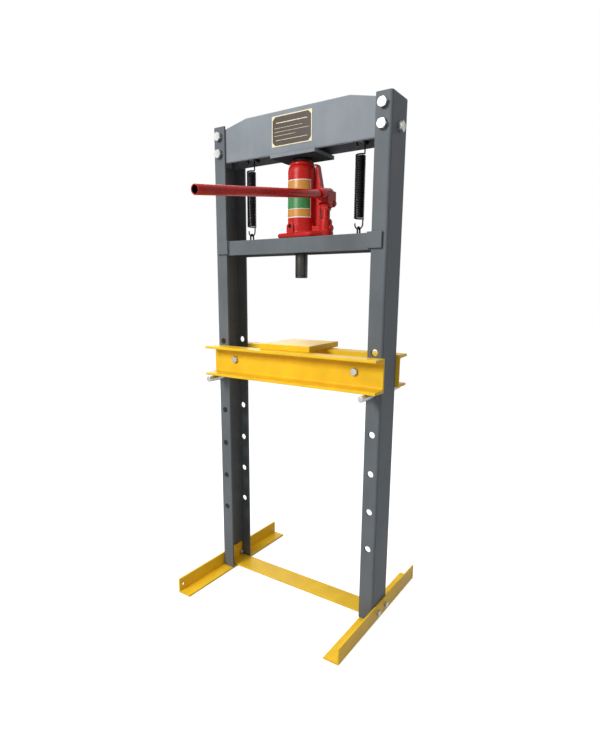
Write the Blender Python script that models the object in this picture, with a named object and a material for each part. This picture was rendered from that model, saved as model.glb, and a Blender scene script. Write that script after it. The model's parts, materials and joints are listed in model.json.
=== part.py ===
"""Hydraulic shop press: a bolted frame of bent channels, a bottle jack on a sprung crosshead, and a pinned bed.

Metres, +Z up, the front of the press towards -Y. Every piece is modelled about the press axis, the
vertical line through the ram. All of it hangs on one empty, which moves the press axis back so that
the origin is the middle of the whole object's footprint, with the pump handle in its working place.
"""
import math

import bmesh
import bpy
from mathutils import Matrix, Vector

# Clearances
SEAT_GAP = 0.0003
SLIDE_GAP = 0.0005
CUT_OVERRUN = 0.002
MERGE_DISTANCE = 0.000001

# Rounding of turned shapes, as numbers of sides
SIDES_SMALL = 10
SIDES_HOLE = 16
SIDES_ROD = 20
SIDES_BODY = 32
BEND_STEPS = 3

# Uprights: two bent channels, their webs outwards
UPRIGHT_TOP = 1.262
UPRIGHT_DEPTH = 0.085
UPRIGHT_FLANGE = 0.0385
UPRIGHT_THICKNESS = 0.005
UPRIGHT_BEND_RADIUS = 0.006
FRAME_WIDTH = 0.511
HOLE_INSET = 0.020

# Pin holes in the uprights
PIN_HOLE_RADIUS = 0.0085
PIN_ROW_LOWEST = 0.203
PIN_ROW_PITCH = 0.100

# Feet: two equal angles across the uprights
FOOT_LEG = 0.042
FOOT_THICKNESS = 0.005
FOOT_LENGTH = 0.450
FOOT_EDGE = 0.001
FOOT_END_HOLE_RADIUS = 0.005
FOOT_END_HOLE_INSET = 0.014

# Tie bar between the feet
TIE_WIDTH = 0.060
TIE_THICKNESS = 0.005
TIE_TAB_HEIGHT = 0.047
TIE_SETBACK = 0.005
TIE_BEND_RADIUS = 0.004
TIE_BOLT_SPACING = 0.0465
TIE_BOLT_HEIGHT = 0.0205
TIE_BOLT_RADIUS = 0.004
TIE_BOLT_ACROSS_FLATS = 0.013
TIE_BOLT_HEAD = 0.0055
TIE_BOLT_NUT = 0.0065

# Top beam: a folded box, open below, with sloping ends
BEAM_HEIGHT = 0.099
BEAM_DROP = 0.090
BEAM_WALL = 0.005
BEAM_SLOPE_LENGTH = 0.1005
BEAM_END_SLOPE_share = 0.219
BEAM_END_GAP = 0.001
BEAM_TAB_WIDTH = 0.034
BEAM_NOTCH_LENGTH = 0.036

# Bolts that hold the beam in the uprights
TOP_BOLT_RADIUS = 0.008
TOP_BOLT_ACROSS_FLATS = 0.024
TOP_BOLT_HEAD = 0.010
TOP_BOLT_NUT = 0.013
TOP_BOLT_TIP = 0.001
TOP_BOLT_DROP = 0.0245
TOP_BOLT_SPACING = 0.042
WEB_BOLT_DROP = 0.065
BOLT_HOLE_CLEARANCE = 0.0005
BOLT_CHAMFER_share = 0.12

# Head plate and collar, where the top of the jack bears
HEAD_PLATE_LENGTH = 0.130
HEAD_PLATE_DEPTH = 0.097
HEAD_PLATE_THICKNESS = 0.009
COLLAR_RADIUS = 0.0245
COLLAR_WALL = 0.0045
COLLAR_HEIGHT = 0.0095

# Rating plate on the front of the beam
RATING_PLATE_LENGTH = 0.117
RATING_PLATE_HEIGHT = 0.070
RATING_PLATE_THICKNESS = 0.001
RATING_PLATE_SHIFT = -0.0066
RATING_PLATE_DROP = 0.0465

# Crosshead: a channel lying with its flanges down, guided by four plates
CROSSHEAD_DROP = 0.288
CROSSHEAD_HEIGHT = 0.0375
CROSSHEAD_WEB = 0.006
CROSSHEAD_WALL = 0.005
CROSSHEAD_SIDE_GAP = 0.0018
CROSSHEAD_BEND_RADIUS = 0.003
GUIDE_PLATE_LENGTH = 0.037
GUIDE_PLATE_HEIGHT = 0.036
GUIDE_PLATE_THICKNESS = 0.0065
GUIDE_PLATE_SETBACK = 0.010
GUIDE_PLATE_RAISE = 0.0015
CROSSHEAD_TRAVEL = 0.110

# Press ram below the crosshead
RAM_RADIUS = 0.016
RAM_REACH = 0.0605
RAM_CHAMFER = 0.0015
RAM_GROOVE_DEPTH = 0.0008
RAM_GROOVE_WIDTH = 0.0012
RAM_GROOVE_INSET = 0.005

# Return springs, their rods in the beam and their eyes on the crosshead
SPRING_INSET = 0.055
SPRING_RADIUS = 0.011
SPRING_WIRE_RADIUS = 0.0016
SPRING_CURLS = 38
SPRING_POINTS_PER_CURL = 8
SPRING_HOOK_RISE = 0.0146
SPRING_NECK_RISE = 0.0168
SPRING_ROD_RAISE = 0.012
SPRING_HOOK_OPENING_DEG = 70.0
SPRING_HOOK_POINTS = 12
SPRING_LEAST_GAP = 0.0004
SPRING_ROD_RADIUS = 0.004
EYE_WIRE_RADIUS = 0.0022
EYE_BOW_RADIUS = 0.006
EYE_BOW_STEPS = 10

# Bed: two channels back to back, drawn together on spacers
BED_HEIGHT = 0.081
BED_FLANGE = 0.0465
BED_WEB = 0.005
BED_FLANGE_ROOT = 0.0085
BED_FLANGE_TIP = 0.0065
BED_FILLET = 0.004
BED_OVERHANG = 0.0073
BED_BOLT_INSET = 0.0755
BED_BOLT_RAISE = 0.0445
BED_BOLT_RADIUS = 0.005
BED_BOLT_ACROSS_FLATS = 0.017
BED_BOLT_HEAD = 0.0064
BED_BOLT_NUT = 0.008
SPACER_RADIUS = 0.0085
SPACER_BORE_RADIUS = 0.0056
BED_LIFT = 0.050

# Bed pins
PIN_RADIUS = 0.0075
PIN_REACH = 0.108
PIN_CHAMFER = 0.0012

# Press plate lying loose on the bed
PRESS_PLATE_LENGTH = 0.150
PRESS_PLATE_DEPTH = 0.170
PRESS_PLATE_THICKNESS = 0.015
PRESS_PLATE_SHIFT_X = -0.0238
PRESS_PLATE_SHIFT_Y = 0.0309
PRESS_PLATE_TURN_DEG = 4.4
PRESS_PLATE_CHAMFER = 0.001

# Jack body
JACK_FLANGE_LENGTH = 0.101
JACK_FLANGE_DEPTH = 0.077
JACK_FLANGE_THICKNESS = 0.008
JACK_FLANGE_CORNER = 0.012
JACK_BOSS_RADIUS = 0.037
JACK_BOSS_TOP = 0.036
TANK_SEAT_DEPTH = 0.004
TANK_RADIUS = 0.034
TANK_WALL = 0.003
TANK_SHOULDER = 0.1575
TANK_TOP = 0.1655
CAP_RADIUS = 0.0305
CAP_TOP = 0.174
CAP_SPIGOT_DEPTH = 0.012
CAP_SPIGOT_WALL = 0.0035
CYLINDER_RADIUS = 0.024
CYLINDER_FLOOR = 0.016
RAM_ROD_RADIUS = 0.018
RAM_ROD_GAP = 0.0004
RAM_ROD_LIFT = 0.002
SCREW_RADIUS = 0.012
SCREW_LENGTH = 0.085
SADDLE_RADIUS = 0.0185
SADDLE_RIM = 0.0012

# Pump beside the jack body
PUMP_PLACE = 0.071
PUMP_BOSS_RADIUS = 0.0155
PUMP_BOSS_TOP = 0.0395
PUMP_LOBE_RADIUS = 0.019
PUMP_BRIDGE_WIDTH = 0.022
PUMP_SLEEVE_RADIUS = 0.0125
PUMP_SLEEVE_STAND = 0.003
PUMP_BORE_FLOOR = 0.012
PISTON_RADIUS = 0.010
PISTON_GAP = 0.0003
PISTON_LIFT = 0.0045
TONGUE_THICKNESS = 0.0196
TONGUE_END_RADIUS = 0.0075
TONGUE_SHOULDER_DROP = 0.0085

# Pump lever, its bracket and pins
LEVER_PIVOT_Y = 0.022
LEVER_PIVOT_RAISE = 0.081
LEVER_PIN_DROP = 0.006
LEVER_PIN_RADIUS = 0.004
LEVER_PIN_GAP = 0.0003
LEVER_SOCKET_RADIUS = 0.0135
LEVER_SOCKET_FRONT = 0.052
LEVER_SOCKET_REAR = 0.011
LEVER_CHEEK_THICKNESS = 0.0045
LEVER_CHEEK_HALF_WIDTH = 0.0085
LEVER_LUG_HALF_WIDTH = 0.009
LEVER_LUG_THICKNESS = 0.020
LEVER_TILT_DEG = 7.46
LEVER_UP_DEG = 45.0
LEVER_DOWN_DEG = 7.0
PIN_SLOT_FRONT = 0.0014
PIN_SLOT_REAR = 0.0028
PIN_SLOT_RISE = 0.0005
BRACKET_THICKNESS = 0.006
BRACKET_FRONT = -0.003
BRACKET_REAR = 0.031
BRACKET_ARM_FRONT = 0.002
BRACKET_ARM_REAR = 0.018
BRACKET_KNEE = 0.108
BRACKET_NECK_OFFSET = 0.0015
BRACKET_SIDE_GAP = 0.0015
PIVOT_HEAD_RADIUS = 0.0065
PIVOT_HEAD_LENGTH = 0.003

# Pump handle
HANDLE_RADIUS = 0.009
HANDLE_WALL = 0.002
HANDLE_AXIS_RAISE = 0.1005
HANDLE_REACH = 0.445
HANDLE_BORE_GAP = 0.0003
HANDLE_SOCKET_FLOOR = 0.004

# Release valve
VALVE_PLACE = -0.006
VALVE_RAISE = 0.0262
VALVE_BOSS_RADIUS = 0.0085
VALVE_BOSS_REACH = 0.0445
VALVE_BORE_RADIUS = 0.0048
VALVE_STEM_RADIUS = 0.0044
VALVE_BORE_DEPTH = 0.0145
VALVE_RECESS = 0.0035
VALVE_SLOT_WIDTH = 0.0016
VALVE_SLOT_DEPTH = 0.0015

# Places worked out from the sizes above
WEB_FACE = FRAME_WIDTH / 2
HALF_DEPTH = UPRIGHT_DEPTH / 2
FLANGE_EDGE = WEB_FACE - UPRIGHT_FLANGE
HOLE_LINE = WEB_FACE - HOLE_INSET
UPRIGHT_FOOT = FOOT_THICKNESS + SEAT_GAP
BEAM_BOTTOM = UPRIGHT_TOP - BEAM_DROP
BEAM_TOP = BEAM_BOTTOM + BEAM_HEIGHT
BEAM_FACE = HALF_DEPTH - UPRIGHT_THICKNESS - SEAT_GAP
BEAM_END = WEB_FACE - UPRIGHT_THICKNESS - BEAM_END_GAP
HEAD_PLATE_BOTTOM = BEAM_BOTTOM - SEAT_GAP - HEAD_PLATE_THICKNESS
BEAM_KNEE = BEAM_END - BEAM_SLOPE_LENGTH
CROSSHEAD_TOP = UPRIGHT_TOP - CROSSHEAD_DROP
CROSSHEAD_BOTTOM = CROSSHEAD_TOP - CROSSHEAD_HEIGHT
RAM_TIP = CROSSHEAD_BOTTOM - RAM_REACH
CROSSHEAD_FACE = HALF_DEPTH + SLIDE_GAP - SEAT_GAP
CROSSHEAD_END = FLANGE_EDGE - CROSSHEAD_SIDE_GAP
GUIDE_PLATE_REACH = WEB_FACE - GUIDE_PLATE_SETBACK
SPRING_PLACE = FLANGE_EDGE - SPRING_INSET
JACK_Z = CROSSHEAD_TOP + SEAT_GAP
PIVOT_Z = JACK_Z + LEVER_PIVOT_RAISE
LEVER_PIN_Z = PIVOT_Z - LEVER_PIN_DROP
HANDLE_TILT = math.radians(LEVER_TILT_DEG)
HANDLE_AXIS_Z = JACK_Z + HANDLE_AXIS_RAISE

# The bed stands in the highest row that leaves the ram's travel and the bed's lift clear of each other
PIN_DROP = PIN_HOLE_RADIUS - SEAT_GAP - PIN_RADIUS
BED_STACK = PIN_RADIUS - PIN_DROP + 2 * SEAT_GAP + BED_HEIGHT + PRESS_PLATE_THICKNESS
BED_ROOM = RAM_TIP - CROSSHEAD_TRAVEL - BED_LIFT - BED_STACK - PIN_ROW_LOWEST
BED_ROW = int(BED_ROOM / PIN_ROW_PITCH)
PIN_ROWS = BED_ROW + 2
PIN_Z = PIN_ROW_LOWEST + BED_ROW * PIN_ROW_PITCH - PIN_DROP
BED_BOTTOM = PIN_Z + PIN_RADIUS + SEAT_GAP
BED_TOP = BED_BOTTOM + BED_HEIGHT
BED_LENGTH = FRAME_WIDTH + 2 * BED_OVERHANG
BED_BOLT_PLACE = BED_LENGTH / 2 - BED_BOLT_INSET
BED_BACK = HALF_DEPTH + SEAT_GAP
FRONT_REACH = HANDLE_REACH + HANDLE_RADIUS * math.sin(HANDLE_TILT)
REAR_REACH = FOOT_LENGTH / 2
PRESS_AXIS_Y = (FRONT_REACH - REAR_REACH) / 2

MATERIALS = {
    "slate_paint": ((0.080, 0.105, 0.125, 1.0), 0.42, 0.0),
    "yellow_paint": ((0.900, 0.560, 0.020, 1.0), 0.38, 0.0),
    "red_paint": ((0.560, 0.012, 0.014, 1.0), 0.32, 0.0),
    "zinc_plate": ((0.620, 0.620, 0.600, 1.0), 0.34, 1.0),
    "black_steel": ((0.020, 0.020, 0.022, 1.0), 0.45, 1.0),
    "ground_steel": ((0.360, 0.350, 0.330, 1.0), 0.36, 1.0),
    "chromed_steel": ((0.700, 0.700, 0.700, 1.0), 0.14, 1.0),
    "plate_enamel": ((0.055, 0.040, 0.025, 1.0), 0.35, 0.3),
}


def clear_scene():
    for thing in list(bpy.data.objects):
        bpy.data.objects.remove(thing)


def finish(name):
    """The material of that name, made on first use."""
    made = bpy.data.materials.get(name)
    if made:
        return made
    colour, roughness, metallic = MATERIALS[name]
    made = bpy.data.materials.new(name)
    made.use_nodes = True
    surface = made.node_tree.nodes["Principled BSDF"]
    surface.inputs["Base Color"].default_value = colour
    surface.inputs["Roughness"].default_value = roughness
    surface.inputs["Metallic"].default_value = metallic
    return made


def empty(name, place, parent=None):
    """An empty at a place in press coordinates."""
    marker = bpy.data.objects.new(name, None)
    bpy.context.scene.collection.objects.link(marker)
    marker["place"] = place
    marker.parent = parent
    home = parent["place"] if parent else (0, 0, 0)
    marker.location = Vector(place) - Vector(home)
    return marker


def place_mesh(name, mesh, finish_name, parent, origin):
    """Links a mesh drawn in press coordinates, with its object's origin at the given place."""
    mesh.transform(Matrix.Translation(-Vector(origin)))
    piece = bpy.data.objects.new(name, mesh)
    bpy.context.scene.collection.objects.link(piece)
    piece.parent = parent
    piece.location = Vector(origin) - Vector(parent["place"])
    if finish_name:
        mesh.materials.append(finish(finish_name))
    return piece


def mesh_from(shape, name):
    """Turns a bmesh into a mesh whose faces point outwards."""
    bmesh.ops.recalc_face_normals(shape, faces=shape.faces)
    mesh = bpy.data.meshes.new(name)
    shape.to_mesh(mesh)
    shape.free()
    return mesh


def prism_mesh(name, outline, axis, low, high):
    """A closed outline carried along X, Y or Z. Its points are the other two coordinates in order."""
    slot = "XYZ".index(axis)
    shape = bmesh.new()
    ring = []
    for point in outline:
        corner = list(point)
        corner.insert(slot, low)
        ring.append(shape.verts.new(corner))
    cap = shape.faces.new(ring)
    swept = bmesh.ops.extrude_face_region(shape, geom=[cap])
    moved = [item for item in swept["geom"] if isinstance(item, bmesh.types.BMVert)]
    travel = [0, 0, 0]
    travel[slot] = high - low
    bmesh.ops.translate(shape, verts=moved, vec=travel)
    return mesh_from(shape, name)


def box_mesh(name, low, high):
    outline = [(low[0], low[1]), (high[0], low[1]), (high[0], high[1]), (low[0], high[1])]
    return prism_mesh(name, outline, "Z", low[2], high[2])


def axis_matrix(axis):
    """Turns +Z to the named axis or to a given direction."""
    named = {"X": Vector((1, 0, 0)), "Y": Vector((0, 1, 0)), "Z": Vector((0, 0, 1))}
    direction = named.get(axis, axis) if isinstance(axis, str) else Vector(axis)
    return Vector((0, 0, 1)).rotation_difference(direction).to_matrix().to_4x4()


def turned_mesh(name, profile, centre, axis="Z", sides=SIDES_ROD, closed=False):
    """A profile of (radius, height) pairs spun about an axis through the centre.

    An open profile starts and ends on the axis. A closed one is the section of a ring.
    """
    shape = bmesh.new()
    line = [shape.verts.new((radius, 0, height)) for radius, height in profile]
    pairs = list(zip(line, line[1:]))
    if closed:
        pairs.append((line[-1], line[0]))
    edges = [shape.edges.new(pair) for pair in pairs]
    bmesh.ops.spin(shape, geom=line + edges, cent=(0, 0, 0), axis=(0, 0, 1), angle=2 * math.pi,
                   steps=sides, use_merge=True)
    bmesh.ops.remove_doubles(shape, verts=shape.verts, dist=MERGE_DISTANCE)
    mesh = mesh_from(shape, name)
    mesh.transform(Matrix.Translation(Vector(centre)) @ axis_matrix(axis))
    return mesh


def rod_profile(radius, low, high, chamfer_low=0.0, chamfer_high=0.0):
    """The profile of a solid rod from low to high."""
    profile = [(0, low), (radius - chamfer_low, low)]
    if chamfer_low:
        profile.append((radius, low + chamfer_low))
    if chamfer_high:
        profile.append((radius, high - chamfer_high))
    profile += [(radius - chamfer_high, high), (0, high)]
    return profile


def ring_profile(outer, inner, low, high):
    return [(inner, low), (outer, low), (outer, high), (inner, high)]


def join_meshes(name, meshes):
    """One mesh of several loose shells, for use as a cutter or as a set to be united."""
    shape = bmesh.new()
    for mesh in meshes:
        shape.from_mesh(mesh)
    joined = bpy.data.meshes.new(name)
    shape.to_mesh(joined)
    shape.free()
    return joined


def helper_object(name, mesh, parent, origin):
    """A cutter or a joining shape, left out of the finished part."""
    tool = place_mesh(name, mesh, None, parent, origin)
    tool.hide_render = True
    tool.display_type = "WIRE"
    return tool


def boolean(piece, meshes, operation):
    """Cuts or joins each mesh with the piece. The meshes are in press coordinates."""
    origin = Vector(piece.location) + Vector(piece.parent["place"])
    for count, mesh in enumerate(meshes):
        label = f"{piece.name}_{operation.lower()}_{len(piece.modifiers)}_{count}"
        tool = helper_object(label, mesh, piece.parent, origin)
        step = piece.modifiers.new(label, "BOOLEAN")
        step.operation = operation
        step.solver = "EXACT"
        step.object = tool


def cut(piece, meshes):
    """All cutters that stay clear of each other go in one step."""
    boolean(piece, [join_meshes(piece.name + "_cutter", meshes)], "DIFFERENCE")


def join(piece, meshes):
    boolean(piece, meshes, "UNION")


def smooth(piece, angle_deg=35.0):
    piece.data.shade_smooth()
    piece.data.set_sharp_from_angle(angle=math.radians(angle_deg))
    return piece


def bevel(piece, width, segments=1, angle_deg=40.0):
    edge = piece.modifiers.new("edge", "BEVEL")
    edge.width = width
    edge.segments = segments
    edge.limit_method = "ANGLE"
    edge.angle_limit = math.radians(angle_deg)
    edge.harden_normals = False
    return piece


def arc(centre, radius, start_deg, end_deg, steps):
    """Points on an arc, both ends included."""
    points = []
    for step in range(steps + 1):
        angle = math.radians(start_deg + (end_deg - start_deg) * step / steps)
        points.append((centre[0] + radius * math.cos(angle), centre[1] + radius * math.sin(angle)))
    return points


def hole(centre, radius, axis, low, high, sides=SIDES_HOLE):
    """A cutter rod along X, Y or Z. The centre gives the two coordinates across that axis."""
    slot = "XYZ".index(axis)
    spot = list(centre)
    spot.insert(slot, 0)
    return turned_mesh("hole", rod_profile(radius, low, high), spot, axis, sides)


def hexagon(across_flats, turn_deg=0.0):
    """The corners of a hexagon, the first at the given turn."""
    radius = across_flats / math.sqrt(3)
    corners = []
    for corner in range(6):
        angle = math.radians(turn_deg + 60 * corner)
        corners.append((radius * math.cos(angle), radius * math.sin(angle)))
    return corners


def hex_solid(name, across_flats, low, high, chamfer_low, chamfer_high, turn_deg=0.0):
    """A hexagonal head or nut along Z, its outer corners taken off by a cone on either face."""
    drop = across_flats * BOLT_CHAMFER_share / 2
    shape = bmesh.new()
    levels = []
    for level, chamfered, inwards in ((low, chamfer_low, 1), (high, chamfer_high, -1)):
        small = [Vector((x, y, level)) * 1.0 for x, y in hexagon(across_flats - 2 * drop, turn_deg)]
        full = [Vector((x, y, level + inwards * drop * chamfered)) for x, y in hexagon(across_flats, turn_deg)]
        levels.append([small, full] if chamfered else [full])
    rings = levels[0] + list(reversed(levels[1]))
    loops = [[shape.verts.new(point) for point in ring] for ring in rings]
    shape.faces.new(loops[0])
    shape.faces.new(loops[-1])
    for lower, upper in zip(loops, loops[1:]):
        for side in range(6):
            after = (side + 1) % 6
            shape.faces.new((lower[side], lower[after], upper[after], upper[side]))
    return mesh_from(shape, name)


def bolt_mesh(name, radius, across_flats, head, grip, nut, tip, turn_deg):
    """A hexagon bolt along +Z: head below zero, grip above it, then its nut and the thread's end."""
    gap = SEAT_GAP
    top = grip + 2 * gap
    shape = bmesh.new()
    shape.from_mesh(hex_solid("head", across_flats, -head, 0, 1, 0, turn_deg))
    shape.from_mesh(turned_mesh("shank", rod_profile(radius, -head / 2, top + nut + tip), (0, 0, 0),
                                "Z", SIDES_SMALL))
    if nut:
        shape.from_mesh(hex_solid("nut", across_flats, top, top + nut, 0, 1, turn_deg))
    mesh = bpy.data.meshes.new(name)
    shape.to_mesh(mesh)
    shape.free()
    return mesh


def united(name, mesh, finish_name, parent, origin):
    """Makes one body of a mesh whose shells cross each other."""
    piece = place_mesh(name, mesh, finish_name, parent, origin)
    weld = piece.modifiers.new("one_body", "BOOLEAN")
    weld.operation = "UNION"
    weld.solver = "EXACT"
    weld.use_self = True
    weld.operand_type = "COLLECTION"
    weld.collection = empty_collection()
    return piece


def empty_collection():
    """An empty collection, which lets a Boolean unite a mesh with itself alone."""
    found = bpy.data.collections.get("nothing")
    return found or bpy.data.collections.new("nothing")


def bolt(name, place, direction, radius, across_flats, head, grip, nut, tip, parent, turn_deg=0.0):
    """A bolt whose head seats at the place, its shank along the direction."""
    mesh = bolt_mesh(name, radius, across_flats, head, grip, nut, tip, turn_deg)
    seat = Vector(place) - Vector(direction) * SEAT_GAP
    mesh.transform(Matrix.Translation(seat) @ axis_matrix(direction))
    return united(name, mesh, "zinc_plate", parent, place)


def upright_outline():
    """Section of the right upright: web at +X, flanges towards the middle, bends rounded."""
    web = WEB_FACE
    deep = HALF_DEPTH
    outer = UPRIGHT_BEND_RADIUS
    inner = UPRIGHT_BEND_RADIUS - UPRIGHT_THICKNESS
    wall = UPRIGHT_THICKNESS
    points = [(FLANGE_EDGE, -deep)]
    points += arc((web - outer, -deep + outer), outer, -90, 0, BEND_STEPS)
    points += arc((web - outer, deep - outer), outer, 0, 90, BEND_STEPS)
    points += [(FLANGE_EDGE, deep), (FLANGE_EDGE, deep - wall)]
    points += arc((web - outer, deep - outer), inner, 90, 0, 1)
    points += arc((web - outer, -deep + outer), inner, 0, -90, 1)
    points += [(FLANGE_EDGE, -deep + wall)]
    return points


def mirrored(points, side):
    """Outline points on the side that side names, 1 for right and -1 for left."""
    return [(side * x, y) for x, y in points]


def top_bolt_heights():
    first = UPRIGHT_TOP - TOP_BOLT_DROP
    return [first, first - TOP_BOLT_SPACING]


def tie_bolt_places():
    return [TIE_SETBACK - TIE_BOLT_SPACING / 2, TIE_SETBACK + TIE_BOLT_SPACING / 2]


def make_upright(name, side, frame):
    mesh = prism_mesh(name, mirrored(upright_outline(), side), "Z", UPRIGHT_FOOT, UPRIGHT_TOP)
    piece = place_mesh(name, mesh, "slate_paint", frame, (side * WEB_FACE, 0, UPRIGHT_FOOT))
    past = HALF_DEPTH + CUT_OVERRUN
    cutters = []
    for row in range(PIN_ROWS):
        height = PIN_ROW_LOWEST + row * PIN_ROW_PITCH
        cutters.append(hole((side * HOLE_LINE, height), PIN_HOLE_RADIUS, "Y", -past, past))
    bolt_hole = TOP_BOLT_RADIUS + BOLT_HOLE_CLEARANCE
    for height in top_bolt_heights():
        cutters.append(hole((side * HOLE_LINE, height), bolt_hole, "Y", -past, past, SIDES_SMALL))
    inside = WEB_FACE - UPRIGHT_THICKNESS - CUT_OVERRUN
    outside = WEB_FACE + CUT_OVERRUN
    span = sorted((side * inside, side * outside))
    cutters.append(hole((0, UPRIGHT_TOP - WEB_BOLT_DROP), bolt_hole, "X", *span, SIDES_SMALL))
    tie_hole = TIE_BOLT_RADIUS + BOLT_HOLE_CLEARANCE
    for place in tie_bolt_places():
        cutters.append(hole((place, TIE_BOLT_HEIGHT), tie_hole, "X", *span, SIDES_SMALL))
    cut(piece, cutters)
    return smooth(piece)


def beam_top_outline(end, top, knee, bottom, slope):
    """Front view of the beam: flat in the middle, sloping down from the knees to the ends."""
    end_top = top - (end - knee) * slope
    return [(-end, bottom), (end, bottom), (end, end_top), (knee, top), (-knee, top), (-end, end_top)]


def make_top_beam(frame):
    """A folded box, open below. At either end its top narrows to a tongue, folded down as a bolt tab."""
    slope = BEAM_END_SLOPE_share
    outline = beam_top_outline(BEAM_END, BEAM_TOP, BEAM_KNEE, BEAM_BOTTOM, slope)
    mesh = prism_mesh("top_beam", outline, "Y", -BEAM_FACE, BEAM_FACE)
    piece = place_mesh("top_beam", mesh, "slate_paint", frame, (0, 0, BEAM_BOTTOM))
    bevel(piece, UPRIGHT_BEND_RADIUS / 2, 2, 60.0)
    inner_end = BEAM_END - BEAM_WALL
    inner_top = BEAM_TOP - BEAM_WALL
    inner_face = BEAM_FACE - BEAM_WALL
    open_end = BEAM_END + CUT_OVERRUN
    hollow = beam_top_outline(open_end, inner_top, BEAM_KNEE, BEAM_BOTTOM - CUT_OVERRUN, slope)
    cut(piece, [prism_mesh("hollow", hollow, "Y", -inner_face, inner_face)])
    half_tab = BEAM_TAB_WIDTH / 2
    notch_low = BEAM_TOP - BEAM_HEIGHT / 2
    notches = []
    for side in (-1, 1):
        for face in (-1, 1):
            across = sorted((side * (BEAM_END - BEAM_NOTCH_LENGTH), side * open_end))
            deep = sorted((face * half_tab, face * inner_face))
            low = (across[0], deep[0], notch_low)
            notches.append(box_mesh("notch", low, (across[1], deep[1], BEAM_TOP + CUT_OVERRUN)))
    cut(piece, notches)
    tab_top = BEAM_TOP - (BEAM_END - BEAM_KNEE) * slope - BEAM_WALL / 2
    tabs = []
    for side in (-1, 1):
        across = sorted((side * inner_end, side * BEAM_END))
        tabs.append(box_mesh("tab", (across[0], -half_tab, BEAM_BOTTOM), (across[1], half_tab, tab_top)))
    join(piece, tabs)
    bolt_hole = TOP_BOLT_RADIUS + BOLT_HOLE_CLEARANCE
    past = BEAM_FACE + CUT_OVERRUN
    cutters = []
    for side in (-1, 1):
        for height in top_bolt_heights():
            cutters.append(hole((side * HOLE_LINE, height), bolt_hole, "Y", -past, past, SIDES_SMALL))
    cut(piece, cutters)
    ends = []
    for side in (-1, 1):
        span = sorted((side * (inner_end - CUT_OVERRUN), side * (BEAM_END + CUT_OVERRUN)))
        ends.append(hole((0, UPRIGHT_TOP - WEB_BOLT_DROP), bolt_hole, "X", span[0], span[1], SIDES_SMALL))
    cut(piece, ends)
    return piece


def make_top_bolts(frame):
    """Four bolts to the front, four to the rear and one through each web, each with its nut."""
    grip = HALF_DEPTH - BEAM_FACE + BEAM_WALL
    names = {-1: "left", 1: "right"}
    for side in (-1, 1):
        for face, facing in ((-1, "front"), (1, "rear")):
            for height, level in zip(top_bolt_heights(), ("upper", "lower")):
                place = (side * HOLE_LINE, face * HALF_DEPTH, height)
                turn = 10.0 if level == "upper" else 25.0
                bolt(f"top_bolt_{facing}_{names[side]}_{level}", place, (0, -face, 0), TOP_BOLT_RADIUS,
                     TOP_BOLT_ACROSS_FLATS, TOP_BOLT_HEAD, grip, TOP_BOLT_NUT, TOP_BOLT_TIP, frame, turn)
        web_grip = WEB_FACE - BEAM_END + BEAM_WALL
        place = (side * WEB_FACE, 0, UPRIGHT_TOP - WEB_BOLT_DROP)
        bolt(f"web_bolt_{names[side]}", place, (-side, 0, 0), TOP_BOLT_RADIUS, TOP_BOLT_ACROSS_FLATS,
             TOP_BOLT_HEAD, web_grip, TOP_BOLT_NUT, TOP_BOLT_TIP, frame)


def make_head_plate(frame):
    half_length = HEAD_PLATE_LENGTH / 2
    half_depth = HEAD_PLATE_DEPTH / 2
    top = HEAD_PLATE_BOTTOM + HEAD_PLATE_THICKNESS
    mesh = box_mesh("head_plate", (-half_length, -half_depth, HEAD_PLATE_BOTTOM), (half_length, half_depth, top))
    piece = place_mesh("head_plate", mesh, "slate_paint", frame, (0, 0, HEAD_PLATE_BOTTOM))
    return bevel(piece, HEAD_PLATE_THICKNESS / 8)


def make_saddle_collar(frame):
    top = HEAD_PLATE_BOTTOM - SEAT_GAP
    profile = ring_profile(COLLAR_RADIUS, COLLAR_RADIUS - COLLAR_WALL, top - COLLAR_HEIGHT, top)
    mesh = turned_mesh("saddle_collar", profile, (0, 0, 0), "Z", SIDES_ROD, True)
    return smooth(place_mesh("saddle_collar", mesh, "black_steel", frame, (0, 0, top)))


def make_rating_plate(frame):
    low_z = BEAM_TOP - RATING_PLATE_DROP - RATING_PLATE_HEIGHT / 2
    back = -BEAM_FACE - SEAT_GAP
    low = (RATING_PLATE_SHIFT - RATING_PLATE_LENGTH / 2, back - RATING_PLATE_THICKNESS, low_z)
    high = (RATING_PLATE_SHIFT + RATING_PLATE_LENGTH / 2, back, low_z + RATING_PLATE_HEIGHT)
    mesh = box_mesh("rating_plate", low, high)
    return place_mesh("rating_plate", mesh, "plate_enamel", frame, (RATING_PLATE_SHIFT, back, low_z))


def make_foot(name, side, frame):
    """An angle with its upright leg outside the web. The left foot is the right one turned about."""
    inside = WEB_FACE + SEAT_GAP
    outside = inside + FOOT_THICKNESS
    toe = outside - FOOT_LEG
    edge = FOOT_EDGE
    outline = [(toe, 0), (outside - edge, 0), (outside, edge), (outside, FOOT_LEG), (inside + edge, FOOT_LEG)]
    outline += [(inside, FOOT_LEG - edge), (inside, FOOT_THICKNESS), (toe + edge, FOOT_THICKNESS)]
    outline += [(toe, FOOT_THICKNESS - edge)]
    mesh = prism_mesh(name, mirrored(outline, side), "Y", -FOOT_LENGTH / 2, FOOT_LENGTH / 2)
    piece = place_mesh(name, mesh, "yellow_paint", frame, (side * inside, 0, 0))
    span = sorted((side * (inside - CUT_OVERRUN), side * (outside + CUT_OVERRUN)))
    cutters = []
    for place in tie_bolt_places():
        cutters.append(hole((place, TIE_BOLT_HEIGHT), TIE_BOLT_RADIUS + BOLT_HOLE_CLEARANCE, "X", *span, SIDES_SMALL))
    end_hole = side * (FOOT_LENGTH / 2 - FOOT_END_HOLE_INSET)
    cutters.append(hole((end_hole, FOOT_LEG / 2), FOOT_END_HOLE_RADIUS, "X", *span))
    cut(piece, cutters)
    return piece


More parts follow.
